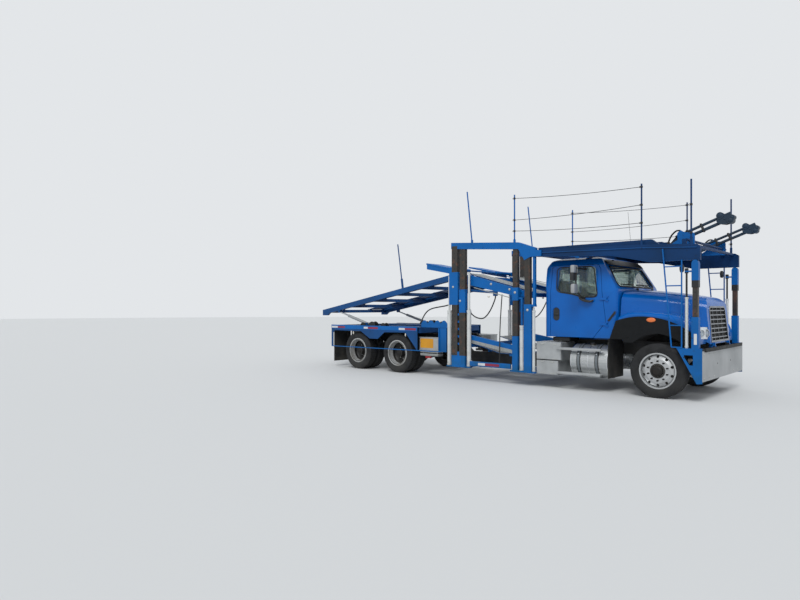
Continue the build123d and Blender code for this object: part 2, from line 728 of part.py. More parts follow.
with BuildPart() as hood:
    add(hood_middle(0))
    for side in (1, -1):
        add(fender(side, 0))
    for side in (1, -1):
        add(fender(side, hood_wall), mode=Mode.SUBTRACT)
    add(hood_middle(hood_wall), mode=Mode.SUBTRACT)
    with BuildSketch(Plane.XZ) as arch:
        with Locations((front_axle_x, axle_height)):
            Circle(arch_radius)
    extrude(arch.sketch, amount=fender_outer_y + 10, both=True, mode=Mode.SUBTRACT)
    with BuildSketch(nose_plane.offset(-150)) as mouth:
        with BuildLine():
            Polyline(*grille_outline, close=True)
        make_face()
        fillet(mouth.vertices().group_by(Axis.Y)[-1], grille_corner)
    extrude(mouth.sketch, amount=220, mode=Mode.SUBTRACT)
    for side in (1, -1):
        box((620, 720), sorted((side * 440, side * 466)), (870, 955))
        cross_bar(hood_hinge_ahead, hood_hinge_height, 30, sorted((side * 440, side * 466)))
    for side in (1, -1):
        cross_bar(hood_hinge_ahead, hood_hinge_height, 12.6, sorted((side * 430, side * 480)), Mode.SUBTRACT)
    lamp_bay = lamp_body(lamp_gap)
    add(lamp_bay, mode=Mode.SUBTRACT)
    add(mirror(lamp_bay, about=Plane.XZ, mode=Mode.PRIVATE), mode=Mode.SUBTRACT)
hood.part.label = "hood"
export_step(hood.part, "parts/hood.step")

# Wheel arch flares: a broad band round each front wheel opening, outside the fender
flare_outer_y = 1158
with BuildPart() as flares:
    with BuildSketch(Plane.XZ.offset(-(fender_outer_y + 0.3))) as band:
        with BuildLine():
            Polyline((front_axle_x - 600, 989), (front_axle_x - 850, 989), (front_axle_x - 735, 1320))
            ThreePointArc(
                (front_axle_x - 735, 1320), (front_axle_x - 60, 1385), (front_axle_x + 560, 1120)
            )
            Polyline(
                (front_axle_x + 560, 1120), (front_axle_x + 600, 880), (front_axle_x + 500, 880)
            )
            ThreePointArc((front_axle_x + 500, 880), (front_axle_x - 30, 1115), (front_axle_x - 600, 989))
        make_face()
    extrude(band.sketch, amount=-(flare_outer_y - fender_outer_y - 0.3))
    both_sides()
flares.part.label = "flares"
export_step(flares.part, "parts/flares.step")

# Grille: a bright frame with rounded upper corners, a row of rounded bars and three dark uprights
bar_count = 7
bar_section = (9, 13)
bar_depth = 8
bar_pitch = (grille_outline[2][1] - grille_outline[0][1]) / (bar_count + 1)
grille_frame = 30


def grille_half(height):
    """Half the grille's width at a height above the nose's foot."""
    low, high = grille_outline[1], grille_outline[2]
    return low[0] + (high[0] - low[0]) * (height - low[1]) / (high[1] - low[1])


with BuildPart() as grille:
    with BuildSketch(nose_plane.offset(-26)) as rim:
        with BuildLine():
            Polyline(*grille_outline, close=True)
        make_face()
        fillet(rim.vertices().group_by(Axis.Y)[-1], grille_corner)
        offset(amount=-0.3)
    with BuildSketch(nose_plane.offset(-26)) as gap:
        with BuildLine():
            Polyline(*grille_outline, close=True)
        make_face()
        fillet(gap.vertices().group_by(Axis.Y)[-1], grille_corner)
        offset(amount=-grille_frame)
    extrude(rim.sketch, amount=34)
    extrude(gap.sketch, amount=60, both=True, mode=Mode.SUBTRACT)
    for row in range(bar_count):
        height = grille_outline[0][1] + bar_pitch * (row + 1)
        half = grille_half(height) - grille_frame / 2
        with BuildSketch(Plane.XZ.offset(-half)) as bar:
            centre = nose_plane.from_local_coords((0, height, -bar_depth))
            with Locations((centre.X, centre.Z)):
                Ellipse(*bar_section)
        extrude(bar.sketch, amount=2 * half)
    for y in (-250, 0, 250):
        with BuildSketch(nose_plane.offset(-26)) as post:
            with Locations((y, (grille_outline[0][1] + grille_outline[2][1]) / 2)):
                Rectangle(14, grille_outline[2][1] - grille_outline[0][1] - 20)
        extrude(post.sketch, amount=14)
grille.part.label = "grille"
export_step(grille.part, "parts/grille.step")

# Headlights: a clear block at each front corner that wraps round it and leans back
with BuildPart() as headlights:
    add(lamp_body(0))
    lean = [(400, 1000), (660, 1000), (610, 1240), (400, 1240)]
    extrude(side_face(lean, 765), amount=200, both=True, mode=Mode.INTERSECT)
    both_sides()
headlights.part.label = "headlights"
export_step(headlights.part, "parts/headlights.step")

# Bumper: a flat plate with two tow holes, a step along its top and a gusset at each end
bumper_back = 725
bumper_thickness = 16
bumper_low = 345
bumper_top = 850
shelf_height = (870, 885)
shelf_inner = side_y - 113
tow_hole_y = 420
tow_hole_radius = 25
tow_hole_height = 600
with BuildPart() as bumper:
    box((bumper_back, bumper_back + bumper_thickness), (-side_y, side_y), (bumper_low, bumper_top))
    box((bumper_back + bumper_thickness - 1, 765), (7 - shelf_inner, shelf_inner - 7), (bumper_top - 20, 878))
    for side in (1, -1):
        box((rail_front, bumper_back + 2), sorted((side * 350, side * 424)), (690, bumper_top))
        gusset = [(346, 885), (741, 885), (741, 320), (655, 309)]
        side_plate(gusset, side * (side_y - 6), 12)
        window = [(462, 775), (600, 775), (600, 610), (545, 610), (462, 735)]
        extrude(side_face(window, side * (side_y - 6)), amount=20, both=True, mode=Mode.SUBTRACT)
        box((346, bumper_back + 4), sorted((side * shelf_inner, side * side_y)), shelf_height)
        web_y = sorted((side * shelf_inner, side * (shelf_inner + 12)))
        box((bumper_back - 40, bumper_back + 2), web_y, (600, 880))
    for side in (1, -1):
        with BuildSketch(Plane.YZ.offset(front_axle_x + bumper_back - 5)) as tow_hole:
            with Locations((side * tow_hole_y, tow_hole_height)):
                Circle(tow_hole_radius)
        extrude(tow_hole.sketch, amount=bumper_thickness + 20, mode=Mode.SUBTRACT)
bumper.part.label = "bumper"
export_step(bumper.part, "parts/bumper.step")

# Front posts: a square tube each side with a mast that the lift's sleeve slides on
mast_ahead = 630
half_length = front_mast_length / 2
post_top = 1400
front_mast_top = 2278
with BuildPart() as front_posts:
    foot = shelf_height[1]
    box((mast_ahead - 55, mast_ahead + 55), (post_y - half_post, post_y + half_post), (foot, post_top))
    box(
        (mast_ahead - half_length, mast_ahead + half_length), (post_y - half_mast, post_y + half_mast),
        (post_top, front_mast_top),
    )
    both_sides()
front_posts.part.label = "front_posts"
export_step(front_posts.part, "parts/front_posts.step")

# Front lift: a sleeve on each front mast with a pad on top that carries the over-cab deck, and a
# rod that its cylinder pushes up
cylinder_ahead = 489
rod_radius = 15
sleeve_low = 2000
pad_radius = 50
pad_middle = head_seat_height - pad_radius
bore_half = half_mast + sleeve_gap
bore_length = half_length + sleeve_gap
wall_length = bore_length + sleeve_wall
bore_top = front_mast_top + 2.5
with BuildPart() as front_lift:
    across = (post_y - sleeve_half, post_y + sleeve_half)
    box((mast_ahead - wall_length, mast_ahead + wall_length), across, (sleeve_low, pad_middle))
    box(
        (mast_ahead - bore_length, mast_ahead + bore_length), (post_y - bore_half, post_y + bore_half),
        (sleeve_low - 10, bore_top), Mode.SUBTRACT,
    )
    cross_bar(mast_ahead, pad_middle, pad_radius, (post_y + sleeve_half, post_y - sleeve_half))
    pad_reach = pad_radius + 10
    box(
        (mast_ahead - pad_reach, mast_ahead + pad_reach), (post_y - bore_half, post_y + bore_half),
        (2200, bore_top), Mode.SUBTRACT,
    )
    for side in (1, -1):
        wall = sorted((mast_ahead + side * bore_length, mast_ahead + side * wall_length))
        box(wall, across, (sleeve_low, pad_middle))
    box((cylinder_ahead - 22, mast_ahead - bore_length - 4), (post_y - 22, post_y + 22), (2140, 2165))
    upright(cylinder_ahead, post_y, (1000, 2150), rod_radius)
    both_sides()
front_lift.part.label = "front_lift"
export_step(front_lift.part, "parts/front_lift.step")

# Ladders: two rails and their rungs beside the hood, with a round mirror
ladder_y = side_y - 2
look_down_y = post_y - 35
with BuildPart() as ladders:
    rod((264, ladder_y, 897), (122, ladder_y, 2544), 12)
    rod((426, ladder_y, shelf_height[1]), (426, ladder_y, 2345), 12)
    for z in (897, 1260, 1920, 2240):
        rod((264 - (z - 897) * 142 / 1647, ladder_y, z), (426, ladder_y, z), 10)
    rod((426, ladder_y, 2209), (405, look_down_y, 2209), 8)
    long_bar((388, 418), look_down_y, 2209, 66)
    both_sides()
ladders.part.label = "ladders"
export_step(ladders.part, "parts/ladders.step")

# Tower frame: a front and a rear tower each side, their foot beams, and the rails along the top
base_low = 262
base_high = 290
head_beam_y = post_y - 20
mast_foot = 1620
outer_mast = (-2745 - tower_mast_length / 2, -2745 + tower_mast_length / 2)
# ahead from, ahead to, half width, height from, height to
tower_posts = [
    (outer_mast[0] - 10, outer_mast[1] + 6, half_post, base_high, 980),
    (*outer_mast, half_mast, 980, 2800),
    (-2542, -2378, half_post, base_high, mast_foot),
    (-2530, -2410, 40, mast_foot, 2560),
    (-2352, -2300, 25, 1575, 2650),
    (-2400, -2300, 40, 1575, mast_foot),
    (-4344, -4193, half_post, base_high, 2900),
    (-4415, -4180, half_post, mast_foot, 2330),
    (-4139, -3985, half_post, base_high, 1950),
    (-4130, -3990, 40, 1950, 2900),
    (-4344, -3985, half_post, base_high, 600),
]
# Heights of the ties between the two rear masts
rear_ties = (770, 930, 1090, 1250, 1410)
# ahead, barrel radius, barrel top, rod radius, rod top
tower_cylinders = [
    (-4443, 46, 1500, 24, 2250),
    (-3912, 46, 1500, 24, 2320),
    (-2346, 30, 1500, 18, 1560),
]
top_rail = [
    (-4360, 2980), (-2668, 2866), (-2290, 2735), (-2290, 2650), (-2400, 2560), (-2530, 2500),
    (-2668, 2730), (-4360, 2843),
]
with BuildPart() as tower_frame:
    for ahead in ((-4490, -3860), (-2860, -2300)):
        box(ahead, (post_y - half_post, post_y + half_post), (base_low, base_high))
    for start, end, half, low, high in tower_posts:
        box((start, end), (post_y - half, post_y + half), (low, high))
    for z in rear_ties:
        box((-4200, -4130), (post_y - 30, post_y + 30), (z - 22, z + 22))
    side_plate(top_rail, post_y, post_width)
    lug = [(-2420, 2700), (-2160, 2680), (-2160, 2560), (-2420, 2560)]
    side_plate(lug, side_y - 14, 28)
    cross_bar(*head_hinge, deck_hinge_pin, (side_y - 2, head_beam_y - 33))
    pin_end = deck_beam_y - deck_beam_width / 2 - 8
    cross_bar(*middle_hinge, deck_hinge_pin, (post_y - 38, pin_end))
    cross_bar(*rear_hinge, deck_hinge_pin, (post_y - half_post + 2, pin_end))
    cross_bar(*flap_hinge, deck_hinge_pin, (post_y - half_post + 2, deck_beam_y - 20))
    box((-4440, -4360), (post_y - half_post, post_y + half_post), (2330, 2440))
    box((-4360, -4300), (post_y - half_post, post_y + half_post), (2300, 2440))
    for ahead, z in ((-2765, 2872), (-3811, 2942)):
        upright(ahead, post_y + 30, (z - 30, z + 60), 24)
    rod((-2765, post_y + 30, 2880), (-2765, post_y + 30, 3832), 14)
    rod((-3811, post_y + 30, 2950), (-3940, post_y + 30, 4045), 14)
    both_sides()
    for ahead in (-2600, -4100):
        box((ahead - 130, ahead + 130), (49 - post_y, post_y - 49), (base_low, 309.7))
    for ahead in (-2600, -4100):
        box((ahead - 115, ahead + 115), (-post_y + 60, post_y - 60), (base_low + 12, 290), Mode.SUBTRACT)
tower_frame.part.label = "tower_frame"
export_step(tower_frame.part, "parts/tower_frame.step")

carriage_ahead = -2613
carriage_barrel_top = 1200
carriage_rod_radius = 24
with BuildPart() as lift_cylinders:
    for ahead, radius, high, thin, top in tower_cylinders:
        upright(ahead, post_y, (base_high, high), radius)
        upright(ahead, post_y, (high, top), thin)
    upright(cylinder_ahead, post_y, (shelf_height[1], 1721), 25)
    upright(cylinder_ahead, post_y, (shelf_height[1] + 40, 1722), rod_radius + running_gap, Mode.SUBTRACT)
    upright(carriage_ahead, post_y, (base_high, carriage_barrel_top), 44)
    bore = (base_high + 60, carriage_barrel_top + 1)
    upright(carriage_ahead, post_y, bore, carriage_rod_radius + running_gap, Mode.SUBTRACT)
    both_sides()
lift_cylinders.part.label = "lift_cylinders"
export_step(lift_cylinders.part, "parts/lift_cylinders.step")

# Over-cab deck: two side beams hinged on the front towers, with raised runways between them,
# and the side rods that stand on the beams
head_beam = [
    (-2275, 2690), (-2275, 2555), (-800, 2490), (-100, head_seat_height + 0.5),
    (700, head_seat_height + 0.5), (700, 2560), (640, 2600), (-300, 2650),
]
head_beam_width = 70
# Station and top of each side rod on the beam
side_rods = [(-245, 3703), (560, 3668)]
runway_rail = [(-2275, 2655), (-2275, 2735), (-100, 2735), (30, 2640), (30, 2612), (-300, 2615)]
with BuildPart() as head_deck:
    side_plate(head_beam, head_beam_y, head_beam_width)
    cross_bar(*head_hinge, deck_hinge_pin + pin_gap, (side_y, head_beam_y - 115), Mode.SUBTRACT)
    side_plate(runway_rail, head_beam_y - 80, 90)
    side_plate(runway_rail, 620, 60)
    runway = [(-2260, 2685), (-2260, 2697), (-300, 2672), (20, 2655), (20, 2643), (-300, 2660)]
    side_plate(runway, 870, 500)
    for ahead, top in side_rods:
        upright(ahead, head_beam_y + 20, (2560, 2720), 22)
        upright(ahead, head_beam_y + 20, (2700, top), 14)
    box((400, 470), (head_beam_y - 65, head_beam_y - 30), (2560, 2700))
    cross_bar(470, 2684, 22, (head_beam_y - 35, 0))
    box((-90, 120), (905, 925), (2562, 2690))
    both_sides()
    for ahead in (-2230, -1500, -700, -60, 590):
        reach = head_beam_y - 34
        box((ahead - 30, ahead + 30), (-reach, reach), (2562, 2632 if ahead < 500 else 2600))
    cross_bar(*arm_hinge, 26, (940, -940), Mode.SUBTRACT)
head_deck.part.label = "head_deck"
export_step(head_deck.part, "parts/head_deck.step")

# Forward arms: twin tubes each side on one shaft, with a roller at each tip
arm_y = 850
arm_slope = atan2(arm_tip[1] - arm_hinge[1], arm_tip[0] - arm_hinge[0])
arm_rise = 85


def above_arm(point, distance):
    """A point moved square to the arm by the distance given."""
    return (point[0] - distance * sin(arm_slope), point[1] + distance * cos(arm_slope))


with BuildPart() as loading_arms:
    cross_bar(*arm_hinge, 25, (940, -940))
    low_start = arm_hinge
    high_start = above_arm((arm_hinge[0] + 150, arm_hinge[1] + 58), arm_rise)
    high_tip = above_arm(arm_tip, arm_rise)
    for side in (1, -1):
        y = side * arm_y
        rod((low_start[0], y, low_start[1]), (arm_tip[0], y, arm_tip[1]), 22)
        rod((high_start[0], y, high_start[1]), (high_tip[0], y, high_tip[1]), 18)
        end_plate = [
            (arm_tip[0] - 110, arm_tip[1] - 60), (arm_tip[0] + 15, arm_tip[1] - 15),
            high_tip, (high_tip[0] - 110, high_tip[1] - 40),
        ]
        side_plate(end_plate, y, 50)
        heel_plate = [arm_hinge, (arm_hinge[0] + 260, arm_hinge[1] + 100), high_start]
        side_plate(heel_plate, y, 20)
        cross_bar(*arm_tip, 42, (y + 60, y - 60))
loading_arms.part.label = "loading_arms"
export_step(loading_arms.part, "parts/loading_arms.step")

# Middle deck: hinged on the rear towers and sloping down to a carriage on the front ones
middle_beam = [
    (-4130, 2180), (-4100, 2270), (-3944, 2262), (-2380, 1838), (-2380, 1742), (-2800, 1792),
    (-3944, 2046), (-4090, 2090),
]
middle_bearers = [(-3960, 2195), (-3400, 2040), (-2900, 1905), (-2440, 1785)]
middle_runway = [(-4060, 2296), (-4060, 2308), (-2350, 1846), (-2350, 1834)]
carriage_pin = (-2745, 1861)
carriage_pin_radius = 16
slot_length = 180
slot_height = 62
runway_y = 780
runway_width = 600
with BuildPart() as middle_deck:
    side_plate(middle_beam, deck_beam_y, deck_beam_width)
    cross_bar(*middle_hinge, deck_hinge_pin + pin_gap, (1300, 1000), Mode.SUBTRACT)
    with BuildSketch(Plane.XZ.offset(-deck_beam_y)) as slot:
        with Locations((front_axle_x + carriage_pin[0], carriage_pin[1])):
            SlotOverall(slot_length, slot_height, rotation=-15)
    extrude(slot.sketch, amount=deck_beam_width, both=True, mode=Mode.SUBTRACT)
    side_plate(middle_runway, runway_y, runway_width)
    both_sides()
    for ahead, z in middle_bearers:
        box((ahead - 30, ahead + 30), (-deck_beam_y, deck_beam_y), (z - 15, z + 45))
    for ahead, z in middle_bearers:
        for y in (runway_y - 260, runway_y + 260):
            box((ahead - 30, ahead + 30), (y - 15, y + 15), (z + 20, z + 78))
            box((ahead - 30, ahead + 30), (-y - 15, -y + 15), (z + 20, z + 78))
middle_deck.part.label = "middle_deck"
export_step(middle_deck.part, "parts/middle_deck.step")

# Deck carriage: a sleeve on each front tower's outer mast, lifted by its cylinder's rod
carriage_height = (1700, 1960)
with BuildPart() as deck_carriages:
    box(
        (outer_mast[0] - sleeve_gap - sleeve_wall, outer_mast[1] + sleeve_gap + sleeve_wall),
        (post_y - sleeve_half, post_y + sleeve_half), carriage_height,
    )
    box(
        (outer_mast[0] - sleeve_gap, outer_mast[1] + sleeve_gap), (post_y - bore_half, post_y + bore_half),
        (carriage_height[0] - 10, carriage_height[1] + 10), Mode.SUBTRACT,
    )
    arm_height = (carriage_height[0] + 30, carriage_height[0] + 60)
    box((outer_mast[1] + 5, carriage_ahead + 28), (post_y - 25, post_y + 25), arm_height)
    upright(carriage_ahead, post_y, (600, carriage_height[0] + 40), carriage_rod_radius)
    pin_ends = (post_y - sleeve_half + 2, deck_beam_y - deck_beam_width / 2)
    cross_bar(*carriage_pin, carriage_pin_radius, pin_ends)
    both_sides()
deck_carriages.part.label = "deck_carriages"
export_step(deck_carriages.part, "parts/deck_carriages.step")

# Rear deck: hinged on the rear towers and sloping down to the truck's tail, on two cylinders
deck_tail = tandem_middle - 2115
deck_head = -4480
rear_beam = [
    (deck_tail, 1495), (deck_tail, 1350), (deck_tail + 190, 1350), (deck_tail + 280, 1419),
    (deck_head, 2157), (-4300, 2085), (-4195, 2120), (-4195, 2220), (-4300, 2290), (deck_head, 2282),
]
rear_runway = [(deck_tail + 60, 1500), (deck_tail + 60, 1512), (-4380, 2292), (-4380, 2280)]
rear_slope = (2282 - 1495) / (deck_head - deck_tail)
bearer_count = 6
lift_foot = (tandem_middle - 395, 1150)
lift_eye = (tandem_middle - 1455, 1450)
with BuildPart() as rear_deck:
    side_plate(rear_beam, deck_beam_y, deck_beam_width)
    cross_bar(*rear_hinge, deck_hinge_pin + pin_gap, (1300, 1000), Mode.SUBTRACT)
    side_plate(rear_runway, runway_y, runway_width)
    eye_lug = [
        (lift_eye[0] - 40, lift_eye[1] + 40), (lift_eye[0] + 50, lift_eye[1] + 50),
        (lift_eye[0] + 40, lift_eye[1] - 25), (lift_eye[0] - 25, lift_eye[1] - 30),
    ]
    for y in (deck_beam_y - 28, deck_beam_y + 28):
        side_plate(eye_lug, y, 12)
    both_sides()
    for index in range(bearer_count):
        ahead = deck_tail + 150 + (deck_head - 220 - deck_tail - 150) * index / (bearer_count - 1)
        z = 2282 - rear_slope * (deck_head - ahead) - 85
        box((ahead - 30, ahead + 30), (-deck_beam_y, deck_beam_y), (z - 20, z + 60))
        for y in (runway_y - 260, runway_y + 260):
            box((ahead - 30, ahead + 30), (y - 15, y + 15), (z, z + 92))
            box((ahead - 30, ahead + 30), (-y - 15, -y + 15), (z, z + 92))
    rod((-5928, -deck_beam_y, 2010), (-5962, -deck_beam_y, 2250), 26)
    rod((-5928, -deck_beam_y, 2010), (-6091, -deck_beam_y, 3083), 14)
rear_deck.part.label = "rear_deck"
export_step(rear_deck.part, "parts/rear_deck.step")

lift_length = hypot(lift_eye[0] - lift_foot[0], lift_eye[1] - lift_foot[1])
lift_along = ((lift_eye[0] - lift_foot[0]) / lift_length, (lift_eye[1] - lift_foot[1]) / lift_length)
barrel_length = 740
barrel_radius = 34
rear_rod_radius = 20


def on_lift(distance):
    """A point on the lift cylinder's axis, measured from its foot."""
    return (lift_foot[0] + lift_along[0] * distance, deck_beam_y, lift_foot[1] + lift_along[1] * distance)


with BuildPart() as rear_lift_barrels:
    cross_bar(*lift_foot, 34, (deck_beam_y + 20, deck_beam_y - 20))
    rod(on_lift(20), on_lift(barrel_length), barrel_radius)
    rod(on_lift(70), on_lift(barrel_length + 2), rear_rod_radius + running_gap, Mode.SUBTRACT)
    cross_bar(*lift_foot, 15 + running_gap, (deck_beam_y + 60, deck_beam_y - 60), Mode.SUBTRACT)
    both_sides()
rear_lift_barrels.part.label = "rear_lift_barrels"
export_step(rear_lift_barrels.part, "parts/rear_lift_barrels.step")

with BuildPart() as rear_lift_rods:
    rod(on_lift(110), on_lift(lift_length - 10), rear_rod_radius)
    cross_bar(*lift_eye, 28, (deck_beam_y + 13, deck_beam_y - 13))
    cross_bar(*lift_eye, 14, (deck_beam_y + 20, deck_beam_y - 20), Mode.SUBTRACT)
    both_sides()
rear_lift_rods.part.label = "rear_lift_rods"
export_step(rear_lift_rods.part, "parts/rear_lift_rods.step")

# Bridge flaps: short plates hinged above the rear deck's front end
flap_plate = [(-4395, 2420), (-5215, 2585), (-5222, 2553), (-4402, 2385)]
with BuildPart() as bridge_flaps:
    side_plate(flap_plate, 830, 560)
    cross_bar(*flap_hinge, 38, (1175, 540))
    cross_bar(*flap_hinge, deck_hinge_pin + pin_gap, (1200, 1100), Mode.SUBTRACT)
    both_sides()
    cross_bar(*flap_hinge, 16, (560, -560))
bridge_flaps.part.label = "bridge_flaps"
export_step(bridge_flaps.part, "parts/bridge_flaps.step")

# Lower deck in the well: two runways and their side beams on cross members over the rails
well_beam = [(-4150, 1000), (-2880, 790), (-2880, 620), (-4150, 830)]
well_runway = [(-4250, 870), (-3250, 612), (-2880, 602), (-2880, 590), (-3250, 600), (-4250, 858)]
with BuildPart() as lower_deck:
    side_plate(well_beam, deck_beam_y, deck_beam_width)
    side_plate(well_runway, runway_y, runway_width)
    both_sides()
    box((-2960, -2900), (-deck_beam_y, deck_beam_y), (well_top, 630))
    box((-2970, -2890), (-1080, 1080), (604, 640), Mode.SUBTRACT)
    box((-3980, -3900), (-deck_beam_y, deck_beam_y), (700, 780))
    for side in (1, -1):
        box((-3980, -3900), sorted((side * 1110, side * 1170)), (700, 805))
        box((-3970, -3910), sorted((side * 360, side * rail_y)), (well_top, 702))
lower_deck.part.label = "lower_deck"
export_step(lower_deck.part, "parts/lower_deck.step")

# Rear platform over the drive wheels, with a skirt each side that drops between them
platform_rear = tandem_middle - 1630
platform_front = tandem_middle + 1379
platform_top = 1100
skirt_y = side_y - 17
skirt = [
    (platform_rear, 1110), (platform_front, 1110), (platform_front, 555), (platform_front - 148, 728),
    (platform_front - 374, 970), (tandem_middle + 323, 958), (tandem_middle + 90, 790),
    (tandem_middle - 190, 790), (tandem_middle - 508, 965), (platform_rear + 125, 965),
    (platform_rear + 65, 900), (platform_rear + 65, 549), (platform_rear, 549),
]
platform_bearers = (
    platform_rear + 32, drive_axles[1], tandem_middle, drive_axles[0], platform_front - 32,
)
with BuildPart() as rear_platform:
    side_plate(skirt, skirt_y, 12)
    box((platform_rear, platform_front), (500, skirt_y), (platform_top - 12, platform_top))
    both_sides()
    for ahead in platform_bearers:
        box((ahead - 32, ahead + 32), (-1200, 1200), (965, platform_top))
        for side in (1, -1):
            box((ahead - 32, ahead + 32), sorted((side * 355, side * rail_y)), (rail_top, 966))
    for side in (1, -1):
        for y in (deck_beam_y - 44, deck_beam_y + 44):
            ear_y = sorted((side * (y - 7), side * (y + 7)))
            box((lift_foot[0] - 45, lift_foot[0] + 45), ear_y, (platform_top - 2, platform_top + 80))
        cross_bar(*lift_foot, 15, (side * (deck_beam_y - 49), side * (deck_beam_y + 49)))
rear_platform.part.label = "rear_platform"
export_step(rear_platform.part, "parts/rear_platform.step")

# Flaps behind the drive wheels, and a splash shield behind each front wheel below the cab
with BuildPart() as mud_flaps:
    box((platform_rear + 64.3, platform_rear + 76), (650, 1240), (150, platform_top - 12.3))
    shield = [(-868, 330), (-856, 330), (-856, 880), (-883.7, 989.7), (-895.7, 989.7), (-868, 880)]
    extrude(side_face(shield, 1110), amount=600)
    both_sides()
mud_flaps.part.label = "mud_flaps"
export_step(mud_flaps.part, "parts/mud_flaps.step")

with BuildPart() as side_guards:
    rod((platform_rear + 25, skirt_y + 17.3, 548), (-4650, skirt_y + 17.3, 571), 11)
    both_sides()
side_guards.part.label = "side_guards"
export_step(side_guards.part, "parts/side_guards.step")

# Storage boxes: a two-tier box behind each fuel tank and a white box ahead of the drive wheels
with BuildPart() as tool_boxes:
    box((-2290, -1767), (640, 1220), (540, 890))
    box((-2290, -1830), (640, 1220), (262, 541))
    box((-2100, -1950), (rail_y, 641), (700, 860))
    box((platform_front + 16, platform_front + 561), (900, 1200), (582, 869))
    box((platform_front + 156, platform_front + 356), (rail_y, 901), (700, 800))
    both_sides()
tool_boxes.part.label = "tool_boxes"
export_step(tool_boxes.part, "parts/tool_boxes.step")

# Fuel tanks: a round tank each side with two straps, on brackets from the rail
tank_radius = 305
tank_y = 890
tank_height = 560
tank_ends = (-1600, -870)
strap_stations = (-1432, -1081)
with BuildPart() as fuel_tanks:
    long_bar(tank_ends, tank_y, tank_height, tank_radius)
    fillet(fuel_tanks.edges().filter_by(GeomType.CIRCLE), 24)
    for ahead in strap_stations:
        long_bar((ahead - 30, ahead + 30), tank_y, tank_height, tank_radius + 6)
        box((ahead - 30, ahead + 30), (rail_y, tank_y - 230), (480, 700))
    tank_crest = tank_height + tank_radius
    upright(-1250, tank_y + 60, (tank_crest - 25, tank_crest + 20), 40)
    both_sides()
fuel_tanks.part.label = "fuel_tanks"
export_step(fuel_tanks.part, "parts/fuel_tanks.step")

with BuildPart() as cab_steps:
    step_y = tank_y + tank_radius + 50
    for front, reach, z in ((-966, 150, 773), (-985, 190, 316)):
        long_bar((-1842, front), step_y, z, 20)
        for ahead in strap_stations:
            box((ahead - 25, ahead + 25), (step_y - reach, step_y), (z - 13, z + 13))
    for ahead in strap_stations:
        long_bar((ahead - 40, ahead + 40), tank_y, tank_height, tank_radius + 6.3, Mode.SUBTRACT)
    both_sides()
cab_steps.part.label = "cab_steps"
export_step(cab_steps.part, "parts/cab_steps.step")

# Hitch: a low beam behind the frame with a ball for what is towed
ball_ahead = rail_rear - 240
with BuildPart() as hitch:
    arm = [
        (rail_rear + 550, 640), (rail_rear + 550, 680), (rail_rear + 5, 680), (rail_rear - 60, 560),
        (rail_rear - 300, 520), (rail_rear - 300, 430), (rail_rear + 80, 430), (rail_rear + 350, 560),
    ]
    side_plate(arm, 0, 260)
    box((rail_rear + 20, rail_rear + 120), (-rail_y, rail_y), (600, 680))
    upright(ball_ahead, 0, (515, 590), 32)
    with Locations(spot(ball_ahead, 0, 620)):
        Sphere(50)
hitch.part.label = "hitch"
export_step(hitch.part, "parts/hitch.step")
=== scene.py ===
# Car transporter truck: the look of its paint, metal, glass and rubber, and the fine pieces on it.
# Shapes are written in millimetres: ahead of the front axle, out to the truck's left, and up.
import math

import bmesh
import bpy
import numpy as np
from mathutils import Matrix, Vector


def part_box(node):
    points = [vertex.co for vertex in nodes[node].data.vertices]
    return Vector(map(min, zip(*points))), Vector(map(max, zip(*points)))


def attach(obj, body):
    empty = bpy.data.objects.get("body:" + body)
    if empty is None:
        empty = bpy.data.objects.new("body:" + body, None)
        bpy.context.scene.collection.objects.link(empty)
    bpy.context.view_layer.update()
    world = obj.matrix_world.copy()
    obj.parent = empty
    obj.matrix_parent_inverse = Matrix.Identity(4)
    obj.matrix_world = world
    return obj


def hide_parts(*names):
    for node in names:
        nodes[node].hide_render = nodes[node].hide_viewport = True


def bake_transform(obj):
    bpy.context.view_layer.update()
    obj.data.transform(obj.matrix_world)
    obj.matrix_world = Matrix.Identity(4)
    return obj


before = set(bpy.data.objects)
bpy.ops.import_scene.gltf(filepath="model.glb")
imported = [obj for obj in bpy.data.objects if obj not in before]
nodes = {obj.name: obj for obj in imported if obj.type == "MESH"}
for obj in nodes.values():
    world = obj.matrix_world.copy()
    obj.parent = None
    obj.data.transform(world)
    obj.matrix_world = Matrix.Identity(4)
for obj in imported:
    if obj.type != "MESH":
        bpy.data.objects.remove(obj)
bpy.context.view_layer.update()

FRONT_AXLE = 3860.0
DRIVE_AXLES = (-6050.0, -7420.0)
AXLE_HEIGHT = 470.0
NEAR, FAR = -1, 1
SIDES = ((FAR, "left"), (NEAR, "right"))


# Shapes: each is a pair of points and lists of faces with equal numbers of corners

def grid(points, wrap_u=False, wrap_v=False, cap=False):
    """Quads over a grid: point (i, j) with its next ones along u and v. A cap closes each end of u
    with one face."""
    nu, nv = points.shape[:2]
    i = np.arange(nu if wrap_u else nu - 1)[:, None]
    j = np.arange(nv if wrap_v else nv - 1)[None, :]
    i2, j2 = (i + 1) % nu, (j + 1) % nv
    quads = np.stack([i * nv + j, i2 * nv + j, i2 * nv + j2, i * nv + j2], -1)
    faces = [quads.reshape(-1, 4)]
    if cap:
        faces.append(np.stack([np.arange(nv), np.arange(nv) + (nu - 1) * nv]))
    return points.reshape(-1, 3), faces


def copies(shape, offsets):
    """The shape once at each offset: its points plus the offset, its faces counted on."""
    points, faces = shape
    offsets = np.atleast_2d(np.array(offsets, float))
    steps = np.arange(len(offsets)) * len(points)
    moved = (points[None] + offsets[:, None]).reshape(-1, 3)
    return moved, [(f[None] + steps[:, None, None]).reshape(-1, f.shape[1]) for f in faces]


def along(shape, *places):
    """The shape once at each distance ahead."""
    return copies(shape, [(ahead, 0, 0) for ahead in places])


